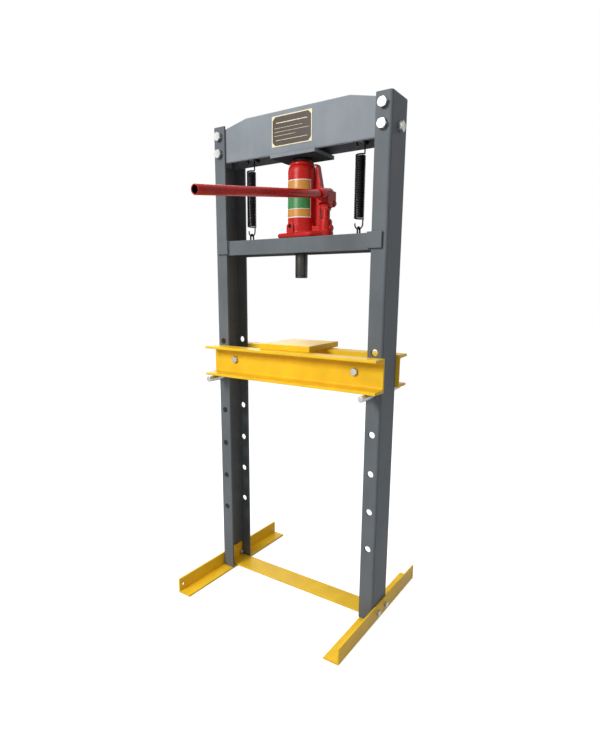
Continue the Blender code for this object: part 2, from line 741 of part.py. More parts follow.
def make_tie_bar(frame):
    """A flat bar on the feet whose ends turn up against the webs."""
    low = FOOT_THICKNESS + SEAT_GAP
    end = WEB_FACE - UPRIGHT_THICKNESS - SEAT_GAP
    wall = TIE_THICKNESS
    outer = TIE_BEND_RADIUS + TIE_THICKNESS / 2
    inner = TIE_BEND_RADIUS / 4
    top = low + TIE_TAB_HEIGHT
    right = arc((end - outer, low + outer), outer, -90, 0, BEND_STEPS) + [(end, top), (end - wall, top)]
    right += arc((end - wall - inner, low + wall + inner), inner, 0, -90, 1)
    left = [(-x, z) for x, z in reversed(right)]
    mesh = prism_mesh("tie_bar", right + left, "Y", TIE_SETBACK - TIE_WIDTH / 2, TIE_SETBACK + TIE_WIDTH / 2)
    piece = place_mesh("tie_bar", mesh, "yellow_paint", frame, (0, TIE_SETBACK, low))
    past = end + CUT_OVERRUN
    cutters = []
    for place in tie_bolt_places():
        for side in (-1, 1):
            span = sorted((side * (end - 2 * wall), side * past))
            radius = TIE_BOLT_RADIUS + BOLT_HOLE_CLEARANCE
            cutters.append(hole((place, TIE_BOLT_HEIGHT), radius, "X", *span, SIDES_SMALL))
    cut(piece, cutters)
    return piece


def make_tie_bolts(frame):
    outside = WEB_FACE + SEAT_GAP + FOOT_THICKNESS
    grip = outside - (WEB_FACE - UPRIGHT_THICKNESS - SEAT_GAP - TIE_THICKNESS)
    for side, name in ((-1, "left"), (1, "right")):
        for place, facing in zip(tie_bolt_places(), ("front", "rear")):
            bolt(f"foot_bolt_{name}_{facing}", (side * outside, place, TIE_BOLT_HEIGHT), (-side, 0, 0),
                 TIE_BOLT_RADIUS, TIE_BOLT_ACROSS_FLATS, TIE_BOLT_HEAD, grip, TIE_BOLT_NUT, TOP_BOLT_TIP, frame)


def bed_channel_outline():
    """Section of the front bed channel: web at the back, tapered flanges towards the front."""
    back = -BED_BACK
    face = back - BED_WEB
    tip = back - BED_FLANGE
    top = BED_TOP
    bottom = BED_BOTTOM
    root = BED_FLANGE_ROOT
    fillet = BED_FILLET
    lower = arc((face - fillet, bottom + root + fillet), fillet, -90, 0, BEND_STEPS)
    upper = arc((face - fillet, top - root - fillet), fillet, 0, 90, BEND_STEPS)
    edge = BED_FLANGE_TIP
    points = [(back, bottom), (back, top), (tip, top), (tip, top - edge)]
    return points + list(reversed(upper)) + list(reversed(lower)) + [(tip, bottom + edge), (tip, bottom)]


def make_bed_channel(name, face, bed):
    outline = [(-face * y, z) for y, z in bed_channel_outline()]
    mesh = prism_mesh(name, outline, "X", -BED_LENGTH / 2, BED_LENGTH / 2)
    piece = place_mesh(name, mesh, "yellow_paint", bed, (0, face * BED_BACK, BED_BOTTOM))
    span = sorted((face * (BED_BACK - CUT_OVERRUN), face * (BED_BACK + BED_WEB + CUT_OVERRUN)))
    cutters = []
    for side in (-1, 1):
        centre = (side * BED_BOLT_PLACE, BED_BOTTOM + BED_BOLT_RAISE)
        cutters.append(hole(centre, BED_BOLT_RADIUS + BOLT_HOLE_CLEARANCE, "Y", *span, SIDES_SMALL))
    cut(piece, cutters)
    return smooth(piece)


def make_bed_fasteners(bed):
    """Two long bolts through both channels, each with a spacer tube between them and a nut behind."""
    outside = BED_BACK + BED_WEB
    height = BED_BOTTOM + BED_BOLT_RAISE
    thread_end = 2 * outside + BED_BOLT_NUT + 2 * TOP_BOLT_TIP
    for side, name in ((-1, "left"), (1, "right")):
        place = (side * BED_BOLT_PLACE, -outside, height)
        bolt(f"bed_bolt_{name}", place, (0, 1, 0), BED_BOLT_RADIUS, BED_BOLT_ACROSS_FLATS, BED_BOLT_HEAD,
             thread_end, 0, 0, bed, 15.0)
        nut = hex_solid("nut", BED_BOLT_ACROSS_FLATS, 0, BED_BOLT_NUT, 0, 1, 20.0)
        nut.transform(Matrix.Translation((place[0], outside + SEAT_GAP, height)) @ axis_matrix("Y"))
        piece = place_mesh(f"bed_nut_{name}", nut, "zinc_plate", bed, (place[0], outside, height))
        bore = BED_BOLT_RADIUS + SEAT_GAP
        past = outside + BED_BOLT_NUT + CUT_OVERRUN
        cut(piece, [hole((place[0], height), bore, "Y", outside - CUT_OVERRUN, past, SIDES_SMALL)])
        half = BED_BACK - SEAT_GAP
        profile = ring_profile(SPACER_RADIUS, SPACER_BORE_RADIUS, -half, half)
        tube = turned_mesh("spacer", profile, (place[0], 0, height), "Y", SIDES_HOLE, True)
        smooth(place_mesh(f"bed_spacer_{name}", tube, "zinc_plate", bed, (place[0], 0, height)))


def make_bed_pin(name, side, slide):
    profile = rod_profile(PIN_RADIUS, -PIN_REACH, PIN_REACH, PIN_CHAMFER, PIN_CHAMFER)
    centre = (side * HOLE_LINE, 0, PIN_Z)
    mesh = turned_mesh(name, profile, centre, "Y", SIDES_HOLE)
    return smooth(place_mesh(name, mesh, "zinc_plate", slide, centre))


def make_press_plate(plate_slide):
    half_x = PRESS_PLATE_LENGTH / 2
    half_y = PRESS_PLATE_DEPTH / 2
    low = BED_TOP + SEAT_GAP
    mesh = box_mesh("press_plate", (-half_x, -half_y, 0), (half_x, half_y, PRESS_PLATE_THICKNESS))
    mesh.transform(Matrix.Rotation(math.radians(PRESS_PLATE_TURN_DEG), 4, "Z"))
    mesh.transform(Matrix.Translation((PRESS_PLATE_SHIFT_X, PRESS_PLATE_SHIFT_Y, low)))
    origin = (PRESS_PLATE_SHIFT_X, PRESS_PLATE_SHIFT_Y, low)
    piece = place_mesh("press_plate", mesh, "yellow_paint", plate_slide, origin)
    return bevel(piece, PRESS_PLATE_CHAMFER)


def make_crosshead(crosshead):
    """A channel with its web on top, standing between the flange edges of the uprights."""
    face = CROSSHEAD_FACE
    wall = CROSSHEAD_WALL
    top = CROSSHEAD_TOP
    bottom = CROSSHEAD_BOTTOM
    bend = CROSSHEAD_BEND_RADIUS
    points = [(-face, bottom)]
    points += arc((-face + bend, top - bend), bend, 180, 90, BEND_STEPS)
    points += arc((face - bend, top - bend), bend, 90, 0, BEND_STEPS)
    points += [(face, bottom), (face - wall, bottom), (face - wall, top - CROSSHEAD_WEB)]
    points += [(-face + wall, top - CROSSHEAD_WEB), (-face + wall, bottom)]
    mesh = prism_mesh("crosshead", points, "X", -CROSSHEAD_END, CROSSHEAD_END)
    return smooth(place_mesh("crosshead", mesh, "slate_paint", crosshead, (0, 0, CROSSHEAD_TOP)))


def make_guide_plates(crosshead):
    top = CROSSHEAD_TOP + GUIDE_PLATE_RAISE
    for side, name in ((-1, "left"), (1, "right")):
        for face, facing in ((-1, "front"), (1, "rear")):
            across = sorted((side * GUIDE_PLATE_REACH, side * (GUIDE_PLATE_REACH - GUIDE_PLATE_LENGTH)))
            inner = HALF_DEPTH + SLIDE_GAP
            deep = sorted((face * inner, face * (inner + GUIDE_PLATE_THICKNESS)))
            low = (across[0], deep[0], top - GUIDE_PLATE_HEIGHT)
            mesh = box_mesh("guide", low, (across[1], deep[1], top))
            piece = place_mesh(f"guide_plate_{facing}_{name}", mesh, "slate_paint", crosshead, (0, 0, CROSSHEAD_TOP))
            bevel(piece, GUIDE_PLATE_THICKNESS / 9)


def make_press_ram(crosshead):
    """A round bar under the web, with a groove turned near its working end."""
    top = CROSSHEAD_TOP - CROSSHEAD_WEB - SEAT_GAP
    low = RAM_TIP
    radius = RAM_RADIUS
    groove = low + RAM_GROOVE_INSET
    shallow = radius - RAM_GROOVE_DEPTH
    profile = [(0, low), (radius - RAM_CHAMFER, low), (radius, low + RAM_CHAMFER), (radius, groove)]
    profile += [(shallow, groove), (shallow, groove + RAM_GROOVE_WIDTH), (radius, groove + RAM_GROOVE_WIDTH)]
    profile += [(radius, top), (0, top)]
    mesh = turned_mesh("press_ram", profile, (0, 0, 0), "Z", SIDES_ROD)
    return smooth(place_mesh("press_ram", mesh, "ground_steel", crosshead, (0, 0, low)))


def spring_coil_bottom():
    """Height of the lowest coil, measured from the eye that the lower hook holds."""
    return CROSSHEAD_TOP + SPRING_HOOK_RISE + 2 * (SPRING_RADIUS - SPRING_WIRE_RADIUS) + SPRING_WIRE_RADIUS


def spring_rod_height():
    """The rods lie a little way up inside the beam."""
    return BEAM_BOTTOM + SPRING_ROD_RAISE


def spring_coil_length():
    """The coil fills what the two hooks and the neck leave between the eye and the rod."""
    radius = SPRING_RADIUS - SPRING_WIRE_RADIUS
    bow = spring_rod_height() + SPRING_ROD_RADIUS + SEAT_GAP + SPRING_WIRE_RADIUS
    return bow - radius - radius / 2 - SPRING_NECK_RISE - spring_coil_bottom()


def spring_points(side):
    """The wire's route: lower hook, coil, neck and upper hook, as one unbroken line.

    The coil is a helix of even pitch. Each hook is an open ring in the plane of the frame, and runs
    straight for one wire diameter at its end.
    """
    radius = SPRING_RADIUS - SPRING_WIRE_RADIUS
    low = spring_coil_bottom()
    coil = spring_coil_length()
    centre_x = side * SPRING_PLACE
    points = []
    open_deg = SPRING_HOOK_OPENING_DEG
    lower_centre = low - radius - SPRING_WIRE_RADIUS
    count = SPRING_HOOK_POINTS
    for step in range(count + 1):
        angle = math.radians(90 + open_deg) + (2 * math.pi - math.radians(open_deg + 90)) * step / count
        points.append(Vector((centre_x + radius * math.cos(angle), 0, lower_centre + radius * math.sin(angle))))
    straight = (points[0] - points[1]).normalized() * 2 * SPRING_WIRE_RADIUS
    points.insert(0, points[0] + straight)
    steps = SPRING_CURLS * SPRING_POINTS_PER_CURL
    for step in range(steps + 1):
        angle = 2 * math.pi * step / SPRING_POINTS_PER_CURL
        height = low + coil * step / steps
        points.append(Vector((centre_x + radius * math.cos(angle), radius * math.sin(angle), height)))
    upper_centre = low + coil + SPRING_NECK_RISE + radius / 2
    for step in range(count + 1):
        angle = (2 * math.pi - math.radians(open_deg + 90)) * step / count
        points.append(Vector((centre_x + radius * math.cos(angle), 0, upper_centre + radius * math.sin(angle))))
    straight = (points[-1] - points[-2]).normalized() * 2 * SPRING_WIRE_RADIUS
    points.append(points[-1] + straight)
    return points


def least_gap(points, wire_radius, skip):
    """The least clear distance between stretches of a route that lie more than skip points apart."""
    least = float("inf")
    for index, point in enumerate(points):
        for other in points[index + skip:]:
            least = min(least, (point - other).length)
    return least - 2 * wire_radius


def make_spring(name, side, frame):
    route = spring_points(side)
    gap = least_gap(route, SPRING_WIRE_RADIUS, SPRING_POINTS_PER_CURL // 2)
    print(f"{name}: least gap to itself {gap * 1000:.2f} mm, allowed {SPRING_LEAST_GAP * 1000:.2f} mm")
    origin = Vector((side * SPRING_PLACE, 0, route[-1].z))
    curve = bpy.data.curves.new(name, "CURVE")
    curve.dimensions = "3D"
    curve.bevel_depth = SPRING_WIRE_RADIUS
    curve.bevel_resolution = 1
    curve.use_fill_caps = True
    line = curve.splines.new("POLY")
    line.points.add(len(route) - 1)
    for spot, point in zip(line.points, route):
        spot.co = (*(point - origin), 1)
    curve.materials.append(finish("black_steel"))
    piece = bpy.data.objects.new(name, curve)
    bpy.context.scene.collection.objects.link(piece)
    piece.parent = frame
    piece.location = origin - Vector(frame["place"])
    return piece


def make_spring_rod(name, side, frame):
    half = BEAM_FACE - BEAM_WALL - SEAT_GAP
    centre = (side * SPRING_PLACE, 0, spring_rod_height())
    mesh = turned_mesh(name, rod_profile(SPRING_ROD_RADIUS, -half, half), centre, "Y", SIDES_SMALL)
    return smooth(place_mesh(name, mesh, "black_steel", frame, centre))


def make_spring_eye(name, side, crosshead):
    """A bow of round wire standing on the crosshead across the hook."""
    radius = SPRING_RADIUS - SPRING_WIRE_RADIUS
    hook_low = spring_coil_bottom() - 2 * radius - SPRING_WIRE_RADIUS
    bow_top = hook_low + SPRING_WIRE_RADIUS + SEAT_GAP + EYE_WIRE_RADIUS
    centre_z = bow_top - EYE_BOW_RADIUS
    foot = CROSSHEAD_TOP + SEAT_GAP
    route = [(-EYE_BOW_RADIUS, foot)]
    route += arc((0, centre_z), EYE_BOW_RADIUS, 180, 0, EYE_BOW_STEPS)
    route += [(EYE_BOW_RADIUS, foot)]
    curve = bpy.data.curves.new(name, "CURVE")
    curve.dimensions = "3D"
    curve.bevel_depth = EYE_WIRE_RADIUS
    curve.bevel_resolution = 2
    curve.use_fill_caps = True
    line = curve.splines.new("POLY")
    line.points.add(len(route) - 1)
    for spot, (across, height) in zip(line.points, route):
        spot.co = (0, across, height - foot, 1)
    curve.materials.append(finish("black_steel"))
    piece = bpy.data.objects.new(name, curve)
    bpy.context.scene.collection.objects.link(piece)
    piece.parent = crosshead
    piece.location = Vector((side * SPRING_PLACE, 0, foot)) - Vector(crosshead["place"])
    return piece


def jack_flange_outline():
    """The base seen from above: a rounded oblong with a lobe that carries the pump."""
    half_x = JACK_FLANGE_LENGTH / 2
    half_y = JACK_FLANGE_DEPTH / 2
    corner = JACK_FLANGE_CORNER
    lobe = PUMP_LOBE_RADIUS
    points = arc((-half_x + corner, -half_y + corner), corner, 180, 270, BEND_STEPS)
    points += arc((half_x - corner, -half_y + corner), corner, 270, 315, 1)
    points += arc((PUMP_PLACE, 0), lobe, -80, 80, 6)
    points += arc((half_x - corner, half_y - corner), corner, 45, 90, 1)
    points += arc((-half_x + corner, half_y - corner), corner, 90, 180, BEND_STEPS)
    return points


def make_jack_base(crosshead):
    base = JACK_Z
    mesh = prism_mesh("jack_base", jack_flange_outline(), "Z", base, base + JACK_FLANGE_THICKNESS)
    piece = place_mesh("jack_base", mesh, "red_paint", crosshead, (0, 0, base))
    low = base + JACK_FLANGE_THICKNESS / 2
    boss_top = base + JACK_BOSS_TOP
    boss = turned_mesh("boss", rod_profile(JACK_BOSS_RADIUS, low, boss_top), (0, 0, 0), "Z", SIDES_BODY)
    pump = rod_profile(PUMP_BOSS_RADIUS, low, base + PUMP_BOSS_TOP)
    pump_boss = turned_mesh("pump_boss", pump, (PUMP_PLACE, 0, 0), "Z", SIDES_ROD)
    half_bridge = PUMP_BRIDGE_WIDTH / 2
    bridge_top = boss_top - BOLT_HOLE_CLEARANCE
    bridge = box_mesh("bridge", (TANK_RADIUS, -half_bridge, low), (PUMP_PLACE, half_bridge, bridge_top))
    valve = rod_profile(VALVE_BOSS_RADIUS, -VALVE_BOSS_REACH, -TANK_RADIUS)
    valve_boss = turned_mesh("valve_boss", valve, (VALVE_PLACE, 0, base + VALVE_RAISE), "Y", SIDES_HOLE)
    join(piece, [boss, pump_boss, bridge, valve_boss])
    seat = boss_top - TANK_SEAT_DEPTH
    past = boss_top + CUT_OVERRUN
    seat_cut = hole((0, 0), TANK_RADIUS + SEAT_GAP, "Z", seat, past, SIDES_BODY)
    cut(piece, [seat_cut])
    floor = base + CYLINDER_FLOOR
    well = hole((0, 0), CYLINDER_RADIUS + SEAT_GAP, "Z", floor, past, SIDES_BODY)
    pump_top = base + PUMP_BOSS_TOP + CUT_OVERRUN
    sleeve_bore = PUMP_SLEEVE_RADIUS + SEAT_GAP
    pump_well = hole((PUMP_PLACE, 0), sleeve_bore, "Z", base + PUMP_BORE_FLOOR, pump_top, SIDES_ROD)
    front = -VALVE_BOSS_REACH
    valve_bore = hole((VALVE_PLACE, base + VALVE_RAISE), VALVE_BORE_RADIUS, "Y", front - CUT_OVERRUN,
                      front + VALVE_BORE_DEPTH)
    cut(piece, [well, pump_well, valve_bore])
    return smooth(piece)


def make_jack_tank(crosshead):
    """The red outer shell, drawn in at the shoulder."""
    base = JACK_Z
    low = base + JACK_BOSS_TOP - TANK_SEAT_DEPTH + SEAT_GAP
    shoulder = base + TANK_SHOULDER
    top = base + TANK_TOP - SEAT_GAP
    outer = TANK_RADIUS
    inner = TANK_RADIUS - TANK_WALL
    rise = top - shoulder
    draw = TANK_RADIUS - CAP_RADIUS
    bulge = [(outer - draw * (1 - math.cos(angle)), shoulder + rise * math.sin(angle))
             for angle in (math.radians(30), math.radians(60), math.radians(90))]
    mouth = outer - draw - TANK_WALL
    profile = [(inner, low), (outer, low), (outer, shoulder)] + bulge + [(mouth, top), (inner, shoulder)]
    mesh = turned_mesh("jack_tank", profile, (0, 0, 0), "Z", SIDES_BODY, True)
    return smooth(place_mesh("jack_tank", mesh, "red_paint", crosshead, (0, 0, low)))


def make_jack_cap(crosshead):
    """The ring that closes the shell and guides the ram."""
    base = JACK_Z
    low = base + TANK_TOP
    top = base + CAP_TOP
    bore = RAM_ROD_RADIUS + RAM_ROD_GAP
    spigot = bore + CAP_SPIGOT_WALL
    edge = (top - low) / 5
    profile = [(bore, low - CAP_SPIGOT_DEPTH), (spigot, low - CAP_SPIGOT_DEPTH), (spigot, low), (CAP_RADIUS, low)]
    profile += [(CAP_RADIUS, top - edge), (CAP_RADIUS - edge, top), (bore, top)]
    mesh = turned_mesh("jack_cap", profile, (0, 0, 0), "Z", SIDES_BODY, True)
    return smooth(place_mesh("jack_cap", mesh, "red_paint", crosshead, (0, 0, low)))


def make_jack_cylinder(crosshead):
    base = JACK_Z
    low = base + CYLINDER_FLOOR + SEAT_GAP
    high = base + TANK_TOP - CAP_SPIGOT_DEPTH - SEAT_GAP
    profile = ring_profile(CYLINDER_RADIUS, RAM_ROD_RADIUS + RAM_ROD_GAP, low, high)
    mesh = turned_mesh("jack_cylinder", profile, (0, 0, 0), "Z", SIDES_ROD, True)
    return smooth(place_mesh("jack_cylinder", mesh, "ground_steel", crosshead, (0, 0, low)))


def saddle_top():
    return HEAD_PLATE_BOTTOM - SEAT_GAP


def make_jack_ram(frame):
    """The jack's ram stays with the head plate while the jack body moves down with the crosshead."""
    low = JACK_Z + CYLINDER_FLOOR + RAM_ROD_LIFT
    top = JACK_Z + CAP_TOP + SEAT_GAP
    bore = SCREW_RADIUS + SEAT_GAP
    floor = top - SCREW_LENGTH - RAM_ROD_LIFT
    profile = [(0, low), (RAM_ROD_RADIUS, low), (RAM_ROD_RADIUS, top), (bore, top), (bore, floor), (0, floor)]
    mesh = turned_mesh("jack_ram", profile, (0, 0, 0), "Z", SIDES_ROD)
    return smooth(place_mesh("jack_ram", mesh, "chromed_steel", frame, (0, 0, top)))


def make_extension_screw(frame):
    """The screwed extension with its saddle, seated in the collar."""
    seat = JACK_Z + CAP_TOP + 2 * SEAT_GAP
    low = seat - SCREW_LENGTH
    high = saddle_top()
    rim = SADDLE_RIM
    profile = [(0, low), (SCREW_RADIUS - rim, low), (SCREW_RADIUS, low + rim), (SCREW_RADIUS, seat)]
    profile += [(SADDLE_RADIUS, seat), (SADDLE_RADIUS, high - rim), (SADDLE_RADIUS - rim, high), (0, high)]
    mesh = turned_mesh("extension_screw", profile, (0, 0, 0), "Z", SIDES_ROD)
    return smooth(place_mesh("extension_screw", mesh, "black_steel", frame, (0, 0, seat)))


def make_pump_sleeve(crosshead):
    base = JACK_Z
    low = base + PUMP_BORE_FLOOR + SEAT_GAP
    high = base + PUMP_BOSS_TOP + PUMP_SLEEVE_STAND
    profile = ring_profile(PUMP_SLEEVE_RADIUS, PISTON_RADIUS + PISTON_GAP, low, high)
    mesh = turned_mesh("pump_sleeve", profile, (PUMP_PLACE, 0, 0), "Z", SIDES_ROD, True)
    return smooth(place_mesh("pump_sleeve", mesh, "red_paint", crosshead, (PUMP_PLACE, 0, low)))


def slot_outline(grow):
    """The oblong that the lever's pin moves in, seen along X, wider by grow on every side."""
    reach = LEVER_PIN_RADIUS + PIN_SLOT_RISE + grow
    rear = arc((PIN_SLOT_REAR, LEVER_PIN_Z), reach, -90, 90, 6)
    front = arc((-PIN_SLOT_FRONT, LEVER_PIN_Z), reach, 90, 270, 6)
    return rear + front


def make_pump_piston(piston):
    """A round plunger with a flat tongue, slotted so that the pin can swing in its arc."""
    low = JACK_Z + PUMP_BORE_FLOOR + SEAT_GAP + PISTON_LIFT
    shoulder = LEVER_PIN_Z - TONGUE_SHOULDER_DROP
    place = (PUMP_PLACE, 0, 0)
    mesh = turned_mesh("pump_piston", rod_profile(PISTON_RADIUS, low, shoulder), place, "Z", SIDES_ROD)
    piece = place_mesh("pump_piston", mesh, "red_paint", piston, (PUMP_PLACE, 0, low))
    half = TONGUE_THICKNESS / 2
    grow = TONGUE_END_RADIUS - LEVER_PIN_RADIUS - PIN_SLOT_RISE
    head = prism_mesh("tongue", slot_outline(grow), "X", PUMP_PLACE - half, PUMP_PLACE + half)
    neck_low = (PUMP_PLACE - half, -TONGUE_END_RADIUS, shoulder - TONGUE_END_RADIUS / 2)
    neck = box_mesh("neck", neck_low, (PUMP_PLACE + half, TONGUE_END_RADIUS, LEVER_PIN_Z - LEVER_PIN_RADIUS))
    join(piece, [head, neck])
    past = half + CUT_OVERRUN
    cut(piece, [prism_mesh("slot", slot_outline(0), "X", PUMP_PLACE - past, PUMP_PLACE + past)])
    return smooth(piece)


def handle_direction():
    """From the socket towards the open end of the handle, falling a little at rest."""
    return Vector((0, -math.cos(HANDLE_TILT), -math.sin(HANDLE_TILT)))


def handle_point(forward):
    """A point on the handle's axis, its distance forward of the press axis measured along Y."""
    return Vector((PUMP_PLACE, -forward, HANDLE_AXIS_Z - forward * math.tan(HANDLE_TILT)))


def tilted_rod(name, radius, forward_low, forward_high, sides=SIDES_ROD):
    """A solid rod on the handle's axis between two distances forward."""
    start = handle_point(forward_low)
    length = (handle_point(forward_high) - start).length
    return turned_mesh(name, rod_profile(radius, 0, length), start, handle_direction(), sides)


def make_pump_lever(lever):
    """The socket for the handle, with two cheeks down to the piston and a lug back to the pivot."""
    front = LEVER_SOCKET_FRONT - LEVER_PIVOT_Y
    mesh = tilted_rod("pump_lever", LEVER_SOCKET_RADIUS, -LEVER_SOCKET_REAR, front)
    pivot = (PUMP_PLACE, LEVER_PIVOT_Y, PIVOT_Z)
    piece = place_mesh("pump_lever", mesh, "red_paint", lever, pivot)
    half = TONGUE_THICKNESS / 2 + BOLT_HOLE_CLEARANCE
    wall = LEVER_CHEEK_THICKNESS
    wide = LEVER_CHEEK_HALF_WIDTH
    axis_z = HANDLE_AXIS_Z
    parts = []
    for side in (-1, 1):
        across = sorted((PUMP_PLACE + side * half, PUMP_PLACE + side * (half + wall)))
        outline = arc((0, LEVER_PIN_Z), wide, 180, 360, 6) + [(wide, axis_z), (-wide, axis_z)]
        parts.append(prism_mesh("cheek", outline, "X", *across))
    lug = LEVER_LUG_HALF_WIDTH
    lug_half = LEVER_LUG_THICKNESS / 2
    lug_front = LEVER_PIVOT_Y - lug
    lug_outline = arc((LEVER_PIVOT_Y, PIVOT_Z), lug, 180, 360, 6)
    lug_outline += [(LEVER_PIVOT_Y + lug, axis_z), (lug_front, axis_z)]
    parts.append(prism_mesh("lug", lug_outline, "X", PUMP_PLACE - lug_half, PUMP_PLACE + lug_half))
    web_outline = [(-wide, axis_z - LEVER_SOCKET_RADIUS / 2), (LEVER_PIVOT_Y, axis_z - LEVER_SOCKET_RADIUS / 2)]
    web_outline += [(LEVER_PIVOT_Y, axis_z + LEVER_SOCKET_RADIUS / 2), (-wide, axis_z + LEVER_SOCKET_RADIUS / 2)]
    full = half + wall
    parts.append(prism_mesh("saddle", web_outline, "X", PUMP_PLACE - full, PUMP_PLACE + full))
    join(piece, parts)
    pin = LEVER_PIN_RADIUS + LEVER_PIN_GAP
    past = full + CUT_OVERRUN
    span = (PUMP_PLACE - past, PUMP_PLACE + past)
    pin_hole = hole((0, LEVER_PIN_Z), LEVER_PIN_RADIUS + SEAT_GAP, "X", *span)
    pivot_hole = hole((LEVER_PIVOT_Y, PIVOT_Z), pin, "X", *span)
    bore_floor = -LEVER_SOCKET_REAR + HANDLE_SOCKET_FLOOR
    bore = tilted_rod("bore", HANDLE_RADIUS + HANDLE_BORE_GAP, bore_floor, front + CUT_OVERRUN)
    cut(piece, [pin_hole, pivot_hole])
    cut(piece, [bore])
    return smooth(piece)


def make_lever_pin(lever):
    """The pin that drives the piston, held in the lever's cheeks."""
    half = TONGUE_THICKNESS / 2 + BOLT_HOLE_CLEARANCE + LEVER_CHEEK_THICKNESS
    centre = (PUMP_PLACE, 0, LEVER_PIN_Z)
    mesh = turned_mesh("piston_pin", rod_profile(LEVER_PIN_RADIUS, -half, half), centre, "X", SIDES_HOLE)
    return smooth(place_mesh("piston_pin", mesh, "zinc_plate", lever, centre))


def bracket_side():
    """The bracket's inner face, beside the lever's cheek on the side of the jack body."""
    outer = PUMP_PLACE - TONGUE_THICKNESS / 2 - BOLT_HOLE_CLEARANCE - LEVER_CHEEK_THICKNESS
    return outer - BRACKET_SIDE_GAP


def make_lever_bracket(crosshead):
    """A plate standing on the base beside the pump, with an arm that leans in to the cap."""
    outer = bracket_side()
    inner = outer - BRACKET_THICKNESS
    base = JACK_Z + JACK_BOSS_TOP + SEAT_GAP
    knee = JACK_Z + BRACKET_KNEE
    plate_outline = [(BRACKET_FRONT, base), (BRACKET_REAR, base), (BRACKET_REAR, PIVOT_Z + LEVER_LUG_HALF_WIDTH)]
    plate_outline += [(BRACKET_ARM_REAR, knee), (BRACKET_ARM_FRONT, knee), (BRACKET_FRONT, PIVOT_Z)]
    mesh = prism_mesh("lever_bracket", plate_outline, "X", inner, outer)
    piece = place_mesh("lever_bracket", mesh, "red_paint", crosshead, (outer, LEVER_PIVOT_Y, PIVOT_Z))
    cap_low = JACK_Z + TANK_TOP
    cap_high = JACK_Z + CAP_TOP
    neck = CAP_RADIUS + BRACKET_NECK_OFFSET
    foot = knee - BRACKET_THICKNESS
    step = BRACKET_THICKNESS / 2
    arm_outline = [(inner, foot), (outer, foot), (neck + 3 * step, cap_low), (neck + 2 * step, cap_high)]
    arm_outline += [(neck, cap_high), (neck, cap_low + SEAT_GAP), (neck + step, cap_low)]
    arm = prism_mesh("arm", arm_outline, "Y", BRACKET_ARM_FRONT, BRACKET_ARM_REAR)
    join(piece, [arm])
    pin_bore = LEVER_PIN_RADIUS + SEAT_GAP
    pivot_hole = hole((LEVER_PIVOT_Y, PIVOT_Z), pin_bore, "X", inner - CUT_OVERRUN, outer + CUT_OVERRUN)
    clear = CAP_RADIUS + SEAT_GAP
    cap_cut = hole((0, 0), clear, "Z", cap_low - CUT_OVERRUN, cap_high + CUT_OVERRUN, SIDES_BODY)
    cut(piece, [pivot_hole, cap_cut])
    return smooth(piece)


def make_pivot_pin(crosshead):
    """A headed pin from the bracket through the lever's lug."""
    start = bracket_side() - BRACKET_THICKNESS
    end = PUMP_PLACE + LEVER_LUG_THICKNESS / 2 + SLIDE_GAP
    head = PIVOT_HEAD_LENGTH
    profile = [(0, start), (LEVER_PIN_RADIUS, start), (LEVER_PIN_RADIUS, end), (PIVOT_HEAD_RADIUS, end)]
    profile += [(PIVOT_HEAD_RADIUS, end + head), (0, end + head)]
    mesh = turned_mesh("pivot_pin", profile, (0, LEVER_PIVOT_Y, PIVOT_Z), "X", SIDES_HOLE)
    return smooth(place_mesh("pivot_pin", mesh, "zinc_plate", crosshead, (start, LEVER_PIVOT_Y, PIVOT_Z)))


def make_jack_handle(handle):
    """A plain tube, open at both ends, pushed into the lever's socket."""
    inner_end = -LEVER_SOCKET_REAR + HANDLE_SOCKET_FLOOR + SEAT_GAP
    start = handle_point(inner_end)
    length = (handle_point(HANDLE_REACH) - start).length
    profile = ring_profile(HANDLE_RADIUS, HANDLE_RADIUS - HANDLE_WALL, 0, length)
    mesh = turned_mesh("jack_handle", profile, start, handle_direction(), SIDES_ROD, True)
    return smooth(place_mesh("jack_handle", mesh, "red_paint", handle, start))


def make_release_valve(valve):
    """A slotted stem, sunk a little in its boss on the front of the base."""
    front = -VALVE_BOSS_REACH + VALVE_RECESS
    back = -VALVE_BOSS_REACH + VALVE_BORE_DEPTH - SEAT_GAP
    centre = (VALVE_PLACE, 0, JACK_Z + VALVE_RAISE)
    mesh = turned_mesh("release_valve", rod_profile(VALVE_STEM_RADIUS, front, back), centre, "Y", SIDES_HOLE)
    origin = (VALVE_PLACE, front, JACK_Z + VALVE_RAISE)
    piece = place_mesh("release_valve", mesh, "zinc_plate", valve, origin)
    half = VALVE_SLOT_WIDTH / 2
    reach = VALVE_STEM_RADIUS + CUT_OVERRUN
    low = (VALVE_PLACE - reach, front - CUT_OVERRUN, origin[2] - half)
    cut(piece, [box_mesh("slot", low, (VALVE_PLACE + reach, front + VALVE_SLOT_DEPTH, origin[2] + half))])
    return smooth(piece)


def make_frame(frame):
    make_upright("left_upright", -1, frame)
    make_upright("right_upright", 1, frame)
    make_top_beam(frame)
    make_top_bolts(frame)
    make_head_plate(frame)
    make_saddle_collar(frame)
    make_rating_plate(frame)
    make_foot("left_foot", -1, frame)
    make_foot("right_foot", 1, frame)
    make_tie_bar(frame)
    make_tie_bolts(frame)
    for side, name in ((-1, "left"), (1, "right")):
        make_spring_rod(f"spring_rod_{name}", side, frame)
        make_spring(f"return_spring_{name}", side, frame)
    make_jack_ram(frame)
    make_extension_screw(frame)


